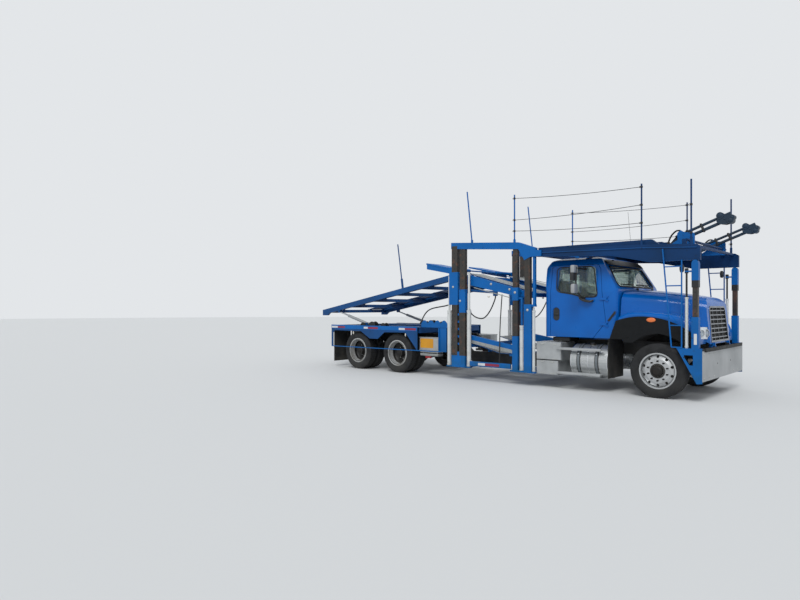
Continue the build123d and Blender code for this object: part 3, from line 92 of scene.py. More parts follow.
def together(*shapes):
    """All the shapes as one: points after points, and faces counted on."""
    starts = np.cumsum([0] + [len(points) for points, faces in shapes[:-1]])
    faces = [f + start for (points, fs), start in zip(shapes, starts) for f in fs]
    return np.concatenate([points for points, fs in shapes]), faces


def flipped(shape):
    """The shape's mirror image on the truck's other side: y becomes -y."""
    return shape[0] * (1, -1, 1), shape[1]


def both(shape):
    """The shape and its mirror image."""
    return together(shape, flipped(shape))


def turned(shape, axis, degrees, about=(0, 0, 0)):
    """The shape turned about a line through a point, by the rotation formula of Rodrigues."""
    axis = np.array(axis, float) / np.linalg.norm(axis)
    about = np.array(about, float)
    angle = math.radians(degrees)
    points = shape[0] - about
    lengthwise = points @ axis
    points = (points * math.cos(angle) + np.cross(axis, points) * math.sin(angle)
              + axis * lengthwise[:, None] * (1 - math.cos(angle)))
    return points + about, shape[1]


def circle(radius, count):
    """A circle's points: radius times cosine and sine of evenly spaced angles."""
    angle = np.arange(count) * 2 * math.pi / count
    return np.stack([radius * np.cos(angle), radius * np.sin(angle)], -1)


def arc(radius, start, end, count, centre):
    """Points on an arc about a centre, from one angle in degrees to another: radius times cosine
    and sine. Two radii make it part of an ellipse."""
    angle = np.radians(np.linspace(start, end, count))
    return np.stack([np.cos(angle), np.sin(angle)], -1) * radius + centre


def oblong(start, end, low, high):
    """An upright rectangle's corners, from start to end and from low to high."""
    return [(start, low), (end, low), (end, high), (start, high)]


def rounded(width, height, corner, steps=3):
    """A rectangle with round corners: each corner's arc about its own centre."""
    turn = np.linspace(0, math.pi / 2, steps)
    quarter = np.arange(4)[:, None] * math.pi / 2
    middle = np.array([[1, 1], [-1, 1], [-1, -1], [1, -1]]) * (width / 2 - corner, height / 2 - corner)
    bows = corner * np.stack([np.cos(turn + quarter), np.sin(turn + quarter)], -1)
    return (middle[:, None] + bows).reshape(-1, 2)


def sweep(path, section, closed=False, up=(0, 0, 1), scale=None):
    """A section carried along a path: each point is the path's point plus the section's two
    numbers times the side direction (path x up) and the direction square to both."""
    path = np.array(path, float)
    ahead = np.roll(path, -1, 0) - np.roll(path, 1, 0) if closed else np.gradient(path, axis=0)
    ahead /= np.linalg.norm(ahead, axis=1)[:, None]
    side = np.cross(ahead, np.array(up, float))
    side /= np.linalg.norm(side, axis=1)[:, None]
    rise = np.cross(side, ahead)
    section = np.array(section, float) * np.reshape(1 if scale is None else scale, (-1, 1, 1))
    points = path[:, None] + section[..., :1] * side[:, None] + section[..., 1:] * rise[:, None]
    return grid(points, wrap_u=closed, wrap_v=True, cap=not closed)


def rod(start, end, radius, count=12):
    """A straight round bar: a circle carried between two points."""
    length, breadth, height = np.abs(np.subtract(end, start))
    up = (1, 0, 0) if breadth > length + height else (0, 1, 0) if height > 2 * breadth else (0, 0, 1)
    return sweep([start, end], circle(radius, count), up=up)


def upright(ahead, y, low, high, radius, count=12):
    """A round bar that stands at one place, from low to high."""
    return rod((ahead, y, low), (ahead, y, high), radius, count)


def crossbar(ahead, z, y_from, y_to, radius, count=12):
    """A round bar along Y."""
    return rod((ahead, y_from, z), (ahead, y_to, z), radius, count)


def block(low, high, edge=3.0):
    """A block with rounded edges: a rounded rectangle carried along X, and drawn in at both ends
    by one minus the sine of an angle that runs round the edge."""
    low, high = np.minimum(low, high).astype(float), np.maximum(low, high).astype(float)
    size = high - low
    turn = np.linspace(0, math.pi / 2, 3)
    inset, run_in = edge * (1 - np.sin(turn)), edge * (1 - np.cos(turn))
    shrink = 1 - 2 * np.concatenate([inset, inset[::-1]])[:, None, None] / size[1:]
    ring = rounded(size[1], size[2], edge) * shrink + (low[1:] + high[1:]) / 2
    stations = np.concatenate([low[0] + run_in, high[0] - run_in[::-1]])
    return grid(np.insert(ring, 0, stations[:, None], axis=-1), wrap_v=True, cap=True)


def stacked(outline, stations, middle=(0, 0), across=1):
    """A flat outline carried through stations, each a level on the axis that across counts and a
    scale that draws the outline towards its middle there."""
    levels, scales = np.array(stations, float).T
    flat = (np.array(outline, float) - middle) * scales[:, None, None] + middle
    return grid(np.insert(flat, across, levels[:, None], axis=-1), wrap_v=True, cap=True)


def plate(outline, y_from, y_to):
    """A flat plate: a side outline of (ahead, z) points, carried from one y to another."""
    return stacked(outline, ((y_from, 1), (y_to, 1)))


def ring_about_y(profile, centre, side=1, count=64, closed=True):
    """A turned ring about a line along Y: radius and distance out, carried round the circle."""
    profile = np.array(profile, float)
    angle = np.arange(count)[:, None] * 2 * math.pi / count
    radius, out = profile[None, :, 0], profile[None, :, 1]
    points = np.stack([centre[0] + radius * np.cos(angle), centre[1] + side * (out + 0 * angle),
                       centre[2] + radius * np.sin(angle)], -1)
    return grid(points, wrap_u=True, wrap_v=closed)


def about_x(profile, centre, count=64):
    """A turned ring about a line along X: the one about Y, turned a quarter about Z."""
    return copies(turned(ring_about_y(profile, (0, 0, 0), 1, count), (0, 0, 1), -90), centre)


def dome(centre, axis, radius, height, count=16, rings=5):
    """A low dome on an axis: radius times the cosine and height times the sine of an angle that
    runs from its rim to its pole. A flat face closes it below."""
    axis = np.array(axis, float) / np.linalg.norm(axis)
    first = np.cross(axis, (0, 0, 1) if abs(axis[2]) < 0.9 else (1, 0, 0))
    first /= np.linalg.norm(first)
    second = np.cross(axis, first)
    rise = np.linspace(0, math.pi / 2, rings)[:, None, None]
    flat = circle(radius, count)[None]
    points = (np.array(centre, float) + np.cos(rise) * (flat[..., :1] * first + flat[..., 1:] * second)
              + np.sin(rise) * height * axis)
    return grid(points, wrap_v=True, cap=True)


def bend(points, count=10):
    """A smooth line through the points: the Catmull-Rom cubic between each two of them."""
    points = np.array(points, float)
    longer = np.concatenate([2 * points[:1] - points[1:2], points, 2 * points[-1:] - points[-2:-1]])
    t = np.linspace(0, 1, count, endpoint=False)[None, :, None]
    a, b, c, d = (longer[k:len(longer) - 3 + k, None] for k in range(4))
    line = 0.5 * (2 * b + (c - a) * t + (2 * a - 5 * b + 4 * c - d) * t**2 + (3 * b - a - 3 * c + d) * t**3)
    return np.concatenate([line.reshape(-1, 3), points[-1:]])


def square_tube(low, high, wall):
    """An upright square tube: its outline at four stations, outside at the bottom and top, then
    inside at the top and bottom, where it is drawn in by the wall."""
    low, high = np.array(low, float), np.array(high, float)
    corners = np.array([[0, 0], [1, 0], [1, 1], [0, 1]])
    inset = np.array([0, 0, wall, wall])[:, None, None]
    flat = low[:2] + inset + corners * (high[:2] - low[:2] - 2 * inset)
    levels = np.array([low[2], high[2], high[2], low[2]])[:, None]
    return grid(np.insert(flat, 2, levels, axis=-1), wrap_u=True, wrap_v=True)


def round_corners(outline, radius, steps=5):
    """A closed outline with each corner drawn as a quadratic curve between the points that lie
    the radius before and after it."""
    outline = np.array(outline, float)
    before, after = np.roll(outline, 1, 0) - outline, np.roll(outline, -1, 0) - outline
    start = outline + before * radius / np.linalg.norm(before, axis=1)[:, None]
    end = outline + after * radius / np.linalg.norm(after, axis=1)[:, None]
    t = np.linspace(0, 1, steps)[None, :, None]
    line = (1 - t) ** 2 * start[:, None] + 2 * t * (1 - t) * outline[:, None] + t**2 * end[:, None]
    return line.reshape(-1, outline.shape[1])


def treadway(line, inner=484, outer=1076, lift=3, pitch=60, height=4, wide=60, step=12):
    """A pressed treadway over a side line of (ahead, z) points: a sheet whose height above the line
    is the lift plus rows of buttons, the positive part of sine times sine at the pitch."""
    line = np.array(line, float)
    run = np.concatenate([[0], np.cumsum(np.linalg.norm(np.diff(line, axis=0), axis=1))])
    place = np.linspace(0, run[-1], int(run[-1] / step) + 1)
    across = np.linspace(inner, outer, wide)
    ahead, level = (np.interp(place, run, line[:, k])[:, None] + 0 * across for k in (0, 1))
    wave = np.sin(math.pi * place / pitch)[:, None] * np.sin(math.pi * (across - inner) / pitch)
    top, base = (np.stack([ahead, across + 0 * ahead, level + rise], -1)
                 for rise in (lift + height * np.clip(wave * 2, 0, 1), 0.3))
    return grid(np.concatenate([top, base[:, ::-1]], 1), wrap_v=True, cap=True)


def placed(name, data):
    """A new object with the data, put into the scene."""
    made = bpy.data.objects.new(name, data)
    bpy.context.scene.collection.objects.link(made)
    return made


def piece(name, finish, *shapes, body="chassis", crease=35.0):
    """Makes the shapes one piece, in metres in the truck's frame, with its seams merged, its faces
    outwards and its edges sharp where they turn by more than the crease."""
    points, faces = together(*shapes)
    mesh = bpy.data.meshes.new(name)
    metres = (points + (FRONT_AXLE, 0, 0)) / 1000
    mesh.from_pydata(metres.tolist(), [], [face for f in faces for face in f.tolist()])
    work = bmesh.new()
    work.from_mesh(mesh)
    bmesh.ops.remove_doubles(work, verts=work.verts, dist=1e-5)
    bmesh.ops.dissolve_degenerate(work, edges=work.edges, dist=1e-6)
    bmesh.ops.recalc_face_normals(work, faces=work.faces)
    work.to_mesh(mesh)
    work.free()
    mesh.shade_smooth()
    mesh.set_sharp_from_angle(angle=math.radians(crease))
    mesh.materials.append(finish[0])
    made = placed(name, mesh)
    if body:
        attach(made, body)
    return made


def pair(name, finish, *shapes, **how):
    """The shapes and their mirror images as one piece."""
    return piece(name, finish, both(together(*shapes)), **how)


def sided(name, finish, body, *shapes, further=0, crease=35.0):
    """The shapes as a piece on the left, and their mirror images as one on the right, which may lie
    further out. The body's name takes the side's word in its braces."""
    left = together(*shapes)
    right = flipped(copies(left, (0, further, 0)))
    return [piece(f"{name}_{which}", finish, shape, body=body.format(which), crease=crease)
            for shape, (side, which) in zip((left, right), SIDES)]


# Finishes

def linear(colour):
    """An sRGB hex colour as linear numbers."""
    values = [int(colour[k:k + 2], 16) / 255 for k in (1, 3, 5)]
    return tuple(v / 12.92 if v < 0.04045 else ((v + 0.055) / 1.055) ** 2.4 for v in values) + (1.0,)


def add_node(tree, kind, inputs=(), **fields):
    """Adds a node, sets its fields, and gives each named input a value or a link."""
    node = tree.nodes.new(kind)
    for name, value in fields.items():
        setattr(node, name, value)
    for key, value in dict(inputs).items():
        if isinstance(value, bpy.types.NodeSocket):
            tree.links.new(value, node.inputs[key])
        else:
            node.inputs[key].default_value = value
    return node


def patches(tree, size, low=0.3, high=0.7, stretch=(1, 1, 1), detail=4.0):
    """A soft patchy pattern between 0 and 1. The size is a patch's width in millimetres, and the
    pattern's range between low and high becomes the whole range."""
    place = add_node(tree, "ShaderNodeTexCoord").outputs["Object"]
    scaled = add_node(tree, "ShaderNodeMapping", {"Vector": place, "Scale": stretch}).outputs[0]
    noise = add_node(tree, "ShaderNodeTexNoise",
                     {"Vector": scaled, "Scale": 1000 / size, "Detail": detail, "Roughness": 0.55})
    return add_node(tree, "ShaderNodeMapRange",
                    {"Value": noise.outputs[0], "From Min": low, "From Max": high}).outputs[0]


def mixed(tree, factor, first, second):
    """One colour where the factor is 0 and another where it is 1."""
    node = add_node(tree, "ShaderNodeMix", {"Factor": factor, "A": (0, 0, 0, 1)}, data_type="RGBA")
    for key, value in ((6, first), (7, second)):
        if isinstance(value, str):
            node.inputs[key].default_value = linear(value)
        else:
            tree.links.new(value, node.inputs[key])
    return node.outputs[2]


def spread(tree, factor, low, high):
    """A number that runs from low to high as the factor runs from 0 to 1."""
    return add_node(tree, "ShaderNodeMapRange",
                    {"Value": factor, "To Min": low, "To Max": high}).outputs[0]


def shader(name, slot, **sockets):
    """A new material with its main shader's sockets set."""
    material = bpy.data.materials.new(name)
    material.use_nodes = True
    tree = material.node_tree
    main = tree.nodes["Principled BSDF"]
    for key, value in sockets.items():
        socket = main.inputs[key.replace("_", " ")]
        socket.default_value = linear(value) if isinstance(value, str) else value
    return (material, slot), tree, main


def dress(tree, main, colour, roughness, relief, strength, depth):
    """Links a colour, a roughness and a fine relief of a depth in metres to the main shader."""
    raised = add_node(tree, "ShaderNodeBump", {"Height": relief, "Strength": strength, "Distance": depth})
    for key, value in (("Base Color", colour), ("Roughness", roughness), ("Normal", raised.outputs[0])):
        tree.links.new(value, main.inputs[key])


def dust(tree, colour, dusty, height, depth):
    """Road dust over a colour: it grows downwards from a height, broken up by patches."""
    place = add_node(tree, "ShaderNodeTexCoord").outputs["Object"]
    level = add_node(tree, "ShaderNodeSeparateXYZ", {"Vector": place}).outputs[2]
    lower = add_node(tree, "ShaderNodeMapRange",
                     {"Value": level, "From Min": height / 1000, "From Max": (height - depth) / 1000})
    cloud = patches(tree, 180, 0.35, 0.7)
    amount = add_node(tree, "ShaderNodeMath", {0: lower.outputs[0], 1: cloud}, operation="MULTIPLY")
    return mixed(tree, amount.outputs[0], colour, dusty)


def paint(name, slot, base, shade, roughness, coat=0.0, dusty=None, height=900, depth=900, bump=0.1,
          grain=6.0, wear=None, gloss=0.5):
    """Sprayed paint: a base colour with slow changes of shade, a skin like orange peel, dust low
    down, and small worn or rusty spots where wear gives a colour."""
    finish, tree, main = shader(name, slot, Roughness=roughness, Coat_Weight=coat, Coat_Roughness=0.06,
                                Specular_IOR_Level=gloss)
    colour = mixed(tree, patches(tree, 700), base, shade)
    if wear:
        spots = patches(tree, 45, 0.66, 0.72, detail=8.0)
        colour = mixed(tree, spots, colour, wear)
    if dusty:
        colour = dust(tree, colour, dusty, height, depth)
    haze = spread(tree, patches(tree, 300, 0.3, 0.75), roughness * 0.85, min(1.0, roughness * 1.25))
    place = add_node(tree, "ShaderNodeTexCoord").outputs["Object"]
    skin = add_node(tree, "ShaderNodeTexNoise", {"Vector": place, "Scale": 1000 / grain, "Detail": 2.0})
    dress(tree, main, colour, haze, skin.outputs[0], bump, 0.001)
    return finish


def metal(name, slot, base, shade, roughness, patch=200, stretch=(1, 1, 1), bump=0.1, grain=2.0, metallic=1.0,
          stain=None, stain_range=(0.55, 0.7), stain_size=60):
    """Bare or plated metal: streaks or patches of two greys, roughness that follows them, and
    stains such as rust or grease where stain gives a colour."""
    finish, tree, main = shader(name, slot, Metallic=metallic, Roughness=roughness)
    cloud = patches(tree, patch, stretch=stretch)
    colour = mixed(tree, cloud, base, shade)
    if stain:
        marks = patches(tree, stain_size, *stain_range, detail=8.0)
        colour = mixed(tree, marks, colour, stain)
        tree.links.new(spread(tree, marks, metallic, 0.0), main.inputs["Metallic"])
    haze = spread(tree, cloud, roughness * 0.8, min(1.0, roughness * 1.3))
    dress(tree, main, colour, haze, patches(tree, grain, 0.2, 0.8, stretch, detail=2.0), bump, 0.0006)
    return finish


def moulded(name, slot, base, shade, roughness, grain=1.5, bump=0.3, dusty=None, height=900, gloss=0.5):
    """Moulded rubber or plastic: a dull colour, a fine leathery grain and dust low down."""
    finish, tree, main = shader(name, slot, Roughness=roughness, Specular_IOR_Level=gloss)
    colour = mixed(tree, patches(tree, 160), base, shade)
    if dusty:
        colour = dust(tree, colour, dusty, height, height)
    haze = spread(tree, patches(tree, 90), roughness * 0.9, min(1.0, roughness * 1.2))
    dress(tree, main, colour, haze, patches(tree, grain, 0.2, 0.8), bump, 0.0008)
    return finish


def glassy(name, slot, base, roughness, transmission, alpha=1.0):
    """Glass or a clear lens: a thin tint, with faint smears in its gloss."""
    finish, tree, main = shader(name, slot, Base_Color=base, Transmission_Weight=transmission, IOR=1.5,
                                Alpha=alpha)
    smears = spread(tree, patches(tree, 120), roughness, roughness * 2 + 0.02)
    tree.links.new(smears, main.inputs["Roughness"])
    return finish


# Two-pack cab enamel, sprayed and flatted: deep gloss that mirrors the sky
cab_enamel = paint("cab_enamel_gloss", "cab_blue", "#0062b8", "#0058aa", 0.3, coat=0.4, dusty="#284a68",
                   height=1150, depth=500, bump=0.04, gloss=0.1)
# Chassis enamel on the steel towers and decks: half gloss, chalky in places and nicked
deck_enamel = paint("deck_enamel_satin", "tower_blue", "#0462ae", "#06589c", 0.45, coat=0.05, dusty="#1c5268",
                    bump=0.12, wear="#1f3444", gloss=0.2)
# The same enamel, darker: painted shade, with dust and nicks, on the rear deck and the platform
painted_shade_enamel = paint("deck_enamel_painted_shade", "deck_blue", "#0b4a86", "#0d3f70", 0.5, dusty="#20405a", bump=0.2,
                    wear="#182a3a", gloss=0.25)
# The same enamel again, darker still, almost navy: painted shade, with dust and nicks, on the beams over the
# cab
deep_shade_enamel = paint("deck_enamel_deep_painted_shade", "deck_blue", "#08386a", "#0a2e54", 0.5, dusty="#20405a", bump=0.2,
                      wear="#14222e", gloss=0.2)
# The same enamel where chains and tyres have rubbed it dark
arm_enamel = paint("deck_enamel_worn", "tower_blue", "#20384e", "#28323c", 0.5, bump=0.25, wear="#3c3833",
                   gloss=0.3)
# Black chassis paint: dull, dusty from the road
chassis_black = paint("chassis_black_paint", "frame_black", "#16181a", "#1d1e20", 0.55, dusty="#4a463f",
                      height=1000, depth=1000, bump=0.2)
# Rough cast iron of axles and hubs, dark with old oil
cast_iron = metal("cast_iron_oiled", "cast_iron", "#2a2a2a", "#383431", 0.7, patch=60, bump=0.5, grain=4,
                  metallic=0.6)
# Mast steel: greased rubbing faces, dark with rust between
mast_steel = metal("mast_steel_greased", "steel", "#3b3a39", "#4a4743", 0.5, patch=120, stretch=(1, 1, 0.2),
                   bump=0.3, grain=5, metallic=0.6, stain="#5a3a28", stain_range=(0.52, 0.7), stain_size=140)
# Galvanised treadway steel: pale grey with soft spangle
galvanised = metal("galvanised_steel", "deck_white", "#a9acab", "#8f9392", 0.5, patch=25, bump=0.2, grain=3,
                   metallic=0.5, stain="#6e6a62", stain_range=(0.6, 0.75), stain_size=90)
# Polished aluminium of the tanks: long soft streaks along the sheet
tank_aluminium = metal("aluminium_polished", "alloy", "#c9cbcb", "#b4b7b8", 0.3, patch=40,
                       stretch=(0.1, 1, 1), bump=0.05, grain=4, metallic=0.85)
# Aluminium tread plate and sheet, dulled by weather
sheet_aluminium = metal("aluminium_sheet_dulled", "alloy", "#b7babb", "#a2a5a6", 0.42, patch=300, bump=0.08,
                        grain=5, metallic=0.6)
# Forged aluminium discs, machined and polished
disc_aluminium = metal("aluminium_forged_disc", "alloy", "#c4c6c7", "#b2b4b5", 0.32, patch=80, bump=0.05,
                       grain=3, metallic=0.75)
# Bright chrome plate
chrome = metal("chrome_plate", "chrome", "#e3e4e6", "#d5d7da", 0.09, bump=0.02)
# Chrome of the grille, dulled by flies and road film
grille_chrome = metal("chrome_plate_dulled", "chrome", "#85898e", "#6e7277", 0.25, patch=120, bump=0.05)
# Hard chromed cylinder rod, with a film of oil
rod_chrome = metal("hard_chrome_rod", "steel", "#c8cbce", "#a8abae", 0.16, patch=60, bump=0.02)
# White cylinder enamel
cylinder_white = paint("cylinder_enamel_white", "deck_white", "#d4d7d6", "#c6c9c8", 0.35, bump=0.08,
                       dusty="#8c8a84")
# Tyre rubber: near black, greyed by the road
tyre_rubber = moulded("tyre_rubber", "tyre", "#191a1b", "#222326", 0.8, grain=2.0, bump=0.35, dusty="#3a3936",
                      height=500)
# Moulded black plastic of the arch bands, dull
flare_plastic = moulded("moulded_black_plastic", "cab_trim", "#080b0e", "#0c0f12", 0.6, dusty="#1a1c1e",
                        gloss=0.25)
# Cab trim: black plastic with a leather grain
cab_plastic = moulded("cab_trim_plastic", "cab_trim", "#232527", "#2b2d2f", 0.6, grain=2.5, bump=0.5)
# Sheet rubber of flaps and liners: dull, greyed low down by the road
flap_rubber = moulded("flap_rubber", "flap_rubber", "#1a1b1b", "#242424", 0.75, grain=3.0, bump=0.4,
                      dusty="#4d4a44", height=800)
# Extruded rubber of hoses and seals: black with a slight sheen
hose_rubber = moulded("hose_rubber", "flap_rubber", "#141516", "#1d1e1f", 0.5, grain=3.0, bump=0.2)
# Woven seat cloth: quite dull, with a coarse weave
seat_cloth = moulded("woven_seat_cloth", "seat_fabric", "#4a4d50", "#3b3e41", 0.95, grain=3.0, bump=1.0)
# Tinted laminated glass: a faint green, easily seen through
cab_glass = glassy("laminated_glass_tinted", "glass", "#b9d6cc", 0.0, 0.95, alpha=0.55)
# Clear polycarbonate of the lamp bowls
lamp_glass = glassy("lamp_lens_clear", "lamp_glass", "#e8eef2", 0.02, 0.9)
# Bolted aluminium plate, wiped over: a plain soft grey
bumper_plate = metal("aluminium_plate_weathered", "alloy", "#a4a7a9", "#989b9d", 0.45, patch=600, bump=0.06,
                     grain=8, metallic=0.35, stain="#6f6a62", stain_range=(0.68, 0.78), stain_size=30)
# Zinc-plated bolts and pins, dulled
zinc = metal("zinc_plated_steel", "steel", "#c3c5c2", "#adafac", 0.4, patch=30, metallic=0.5)
# Stainless strap steel, dulled
strap_steel = metal("stainless_strap_dulled", "steel", "#80868a", "#6c7276", 0.35, patch=80, metallic=0.6)
# Twisted wire rope, greased dark
wire_rope = metal("wire_rope_greased", "steel", "#4c4e50", "#3a3b3d", 0.5, patch=30, bump=0.5, grain=3,
                  metallic=0.6)
# Moulded acrylic lenses: clear gloss over fine prisms
LENSES = (("amber", "#e8824a", "#db6f35"), ("red", "#b01c22", "#98161c"), ("pale", "#f0ece2", "#e2ded6"))
amber_lens, red_lens, pale_lens = [
    moulded(f"acrylic_lens_{tint}", "lamp_glass", base, shade, 0.12, grain=5.0, bump=0.5)
    for tint, base, shade in LENSES]
# Reflective tape: pressed film, a little dirty
tape_white = moulded("reflective_film_white", "lamp_glass", "#d4d6da", "#c0c3c8", 0.3, grain=4.0)
tape_red = moulded("reflective_film_red", "lamp_glass", "#8e2340", "#7a1c36", 0.3, grain=4.0)
# Blank vinyl label and a plain yellow enamelled panel
blank_vinyl = paint("vinyl_film_blank", "deck_white", "#d9dcdc", "#cdd0d0", 0.4, bump=0.03)
panel_yellow = paint("panel_enamel_yellow", "deck_white", "#d79a1e", "#c88a16", 0.45, bump=0.05,
                     wear="#8a6a2a")
# Smoked acrylic of the visor
smoked_acrylic = moulded("smoked_acrylic", "cab_trim", "#08090a", "#0c0e10", 0.45, grain=30.0, bump=0.05,
                         gloss=0.25)
# Silvered reflector and mirror glass: a clean bright face
silvered = metal("silvered_reflector", "chrome", "#f2f4f6", "#e6e9ec", 0.06, patch=300, bump=0.01)
# Silvered lamp body under a clear cover: bright, softly ribbed
lamp_silver = metal("silvered_lamp_body", "lamp_glass", "#e4e8ec", "#cfd5da", 0.2, patch=60,
                    stretch=(1, 1, 3), bump=0.15, grain=8, metallic=0.5)
# Steel wheel enamel, pale grey
wheel_enamel = paint("wheel_enamel_grey", "alloy", "#a9abab", "#999b9b", 0.45, dusty="#6b665e",
                     wear="#5a5650")


# CAD nodes get these over the plain finish that they came with
DRIVE_RIMS = " ".join(f"drive_rims_{index}_{which}" for index in (1, 2) for side, which in SIDES)
for finish, names in (
        (cab_enamel, "cab_shell hood door_left door_right"),
        (deck_enamel, "tower_frame front_posts front_lift ladders middle_deck deck_carriages bridge_flaps"
                      " lower_deck side_guards bumper"),
        # The rear deck and platform take the darker enamel that paints shade, and the head deck a darker one
        # still
        (painted_shade_enamel, "rear_deck rear_platform"), (deep_shade_enamel, "head_deck"), (arm_enamel, "loading_arms"),
        (chassis_black, "chassis_frame radiator suspension hitch mirrors_left mirrors_right " + DRIVE_RIMS),
        (cast_iron, "engine_block front_axle knuckle_left knuckle_right drive_axle_tubes tie_rod"),
        (tank_aluminium, "fuel_tanks cab_steps"), (sheet_aluminium, "tool_boxes"),
        (disc_aluminium, "front_rim_left front_rim_right"), (cylinder_white, "lift_cylinders"),
        (bumper_plate, "rear_lift_barrels"), (rod_chrome, "rear_lift_rods"), (grille_chrome, "grille"),
        (flare_plastic, "flares"), (cab_plastic, "dashboard"), (flap_rubber, "mud_flaps"),
        (cab_glass, "cab_glass door_glass_left door_glass_right")):
    for name in names.split():
        slots = nodes[name].data.materials
        slots.clear()
        slots.append(finish[0])


# Wheels

SIDE_WALL = ((286.5, 94), (300, 98), (316, 113), (345, 124), (380, 125), (415, 121), (440, 111), (457, 102),
             (466, 95))
RIB_EDGES = (85, 62, 61, 53, 52, 24, 23, 15, 14, -14, -15, -23, -24, -52, -53, -61, -62, -85)
TYRE_RADIUS = 470.0


def tyre(lugs):
    """A tyre at the origin: its section's radius and distance out, carried round. The radius drops
    in the long grooves between the ribs, and for lugs in every third step round the shoulders too,
    staggered from one shoulder to the other."""
    wall = np.array(SIDE_WALL, float)
    out = np.concatenate([wall[:, 1], RIB_EDGES, -wall[::-1, 1]])
    radius = np.concatenate([wall[:, 0], np.full(len(RIB_EDGES), TYRE_RADIUS), wall[::-1, 0]])
    place = np.abs(out)
    tread = radius == TYRE_RADIUS
    grooves = ((place > 52) & (place < 62)) | ((place > 14) & (place < 24))
    radius -= 11 * (tread & grooves)
    step = np.arange(180)[:, None]
    angle = step * math.pi / 90
    lug_start, lug_depth = (24, 12) if lugs else (84, 3)
    cut = tread & np.where(out > 0, step % 3 == 0, step % 3 == 1) & (place > lug_start)
    radius = radius - np.where(cut, lug_depth, 0)
    points = np.stack([radius * np.cos(angle), out + 0 * angle, radius * np.sin(angle)], -1)
    return grid(points, wrap_u=True, wrap_v=True)


def bolt_ring(profile, corners, centre, side, ring, count=10, start=18):
    """Nuts or washers on a circle about a line along Y: one turned shape at evenly spaced angles."""
    angle = np.radians(start + np.arange(count) * 360 / count)
    places = np.stack([ring * np.cos(angle), 0 * angle, ring * np.sin(angle)], -1)
    return copies(ring_about_y(profile, (0, 0, 0), side, count=corners), places + centre)


# Profiles of turned parts: radius and distance out
NUT = ((0, 1), (17, 1), (18, 4), (17, 20), (13, 26), (0, 27))
WASHER = ((0, 0), (26, 0), (27, 2), (25, 5), (0, 5))
HUB_BOLT = ((0, 0), (9, 0), (9, 8), (0, 9))
STEER_HUB = ((99, 96.5), (98, 108), (88, 133), (66, 145), (60, 152), (30, 155), (0, 155))
HUB_COLLAR = ((100, 0.2), (128, 0.2), (126, 7), (104, 9))
DRIVE_HUB = ((72, 203), (72, 210), (60, 218), (30, 222), (0, 222))
RIM_LIP = ((277, 262), (279, 266), (290, 269), (303, 269), (309, 265), (309, 262))
RIM_BEAD = ((254, 148), (263, 148), (264, 262), (260, 262), (258, 156))
STEER_OUT, DRIVE_OUT, TWINS_OUT = 1070, 940, (1095, 785)
for side, which in SIDES:
    body = f"front_wheel_{which}"
    centre = (0, side * STEER_OUT, AXLE_HEIGHT)
    disc = (0, side * (STEER_OUT + 96.3), AXLE_HEIGHT)
    made = piece(f"steer_tyre_{which}", tyre_rubber, copies(tyre(False), centre), body=body)
    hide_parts(f"front_tyre_{which}")
    piece(f"steer_washers_{which}", chrome, bolt_ring(WASHER, 16, disc, side, 167), body=body)
    piece(f"steer_nuts_{which}", cast_iron, bolt_ring(NUT, 6, disc + np.array((0, side * 5, 0)), side, 167),
          body=body)
    piece(f"steer_hub_{which}", cast_iron, ring_about_y(STEER_HUB, centre, side, 48, closed=False),
          bolt_ring(HUB_BOLT, 6, (0, side * 1215, AXLE_HEIGHT), side, 48, 6, 0), body=body)
    piece(f"steer_hub_collar_{which}", chassis_black, ring_about_y(HUB_COLLAR, disc, side, 48), body=body)
    for index, ahead in enumerate(DRIVE_AXLES, 1):
        tag = f"{index}_{which}"
        body = f"drive_wheel_{tag}"
        middle = (ahead, side * DRIVE_OUT, AXLE_HEIGHT)
        made = piece(f"drive_tyres_lugged_{tag}", tyre_rubber,
                     *[copies(tyre(True), (ahead, side * out, AXLE_HEIGHT)) for out in TWINS_OUT], body=body)
        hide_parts(f"drive_tyres_{tag}")
        piece(f"drive_rim_lip_{tag}", wheel_enamel,
              *[ring_about_y(profile, middle, side) for profile in (RIM_LIP, RIM_BEAD)], body=body)
        piece(f"drive_nuts_{tag}", zinc, bolt_ring(NUT, 6, (ahead, side * 964.5, AXLE_HEIGHT), side, 150),
              body=body)
        piece(f"drive_hub_{tag}", cast_iron, ring_about_y(DRIVE_HUB, middle, side, 32, closed=False), body=body)
sided("brake_shadow", chassis_black, "front_wheel_{}",
      ring_about_y(((216, 40), (262, 40), (262, 43), (216, 43)), (0, STEER_OUT, AXLE_HEIGHT), 1, 48))


# Masts: greased steel faces between the enamelled posts, and dark ends to the lift's sleeves

TOWER_OUT = 1235
MASTS = ((590, 670, 38, 1401, 2277), (-2800, -2690, 38, 981, 2799), (-2530, -2410, 40, 1621, 2559),
         (-4344, -4193, 50, 515, 1619), (-4344, -4193, 50, 2331, 2899), (-4130, -3990, 40, 1951, 2899),
         (-4139, -3985, 50, 515, 1449))
SKIN = 0.3
pair("mast_faces", mast_steel, *[
    square_tube((start - SKIN, TOWER_OUT - half - SKIN, low), (end + SKIN, TOWER_OUT + half + SKIN, high), 1.5)
    for start, end, half, low, high in MASTS])
pair("lift_latches", chassis_black, square_tube((579, 1186, 1885), (681, 1284, 1999), 9.5),
     along(crossbar(0, 1942, 1284, 1285, 12), 605, 655), body="front_lift")
LIFT_ROD = 489, TOWER_OUT
pair("front_lift_rod_skins", chassis_black, upright(*LIFT_ROD, 1722, 2148, 15.6, 20), body="front_lift")
pair("front_lift_clevises", chassis_black, block((462, 1214, 2120), (516, 1256, 2205), 8),
     crossbar(489, 2180, 1205, 1265, 11), body="front_lift")
pair("front_lift_glands", cylinder_white, *[
    upright(*LIFT_ROD, low, low + tall, radius, 20)
    for low, radius, tall in ((1702, 29, 26), (900, 30, 24), (1180, 27, 8), (1460, 27, 8))])
piece("blank_label", blank_vinyl, plate(round_corners(oblong(615, 661, 952, 1128), 6), -1285.2, -1286.6))


# Bumper: bolted plate in front, sockets, black rubber tread on top

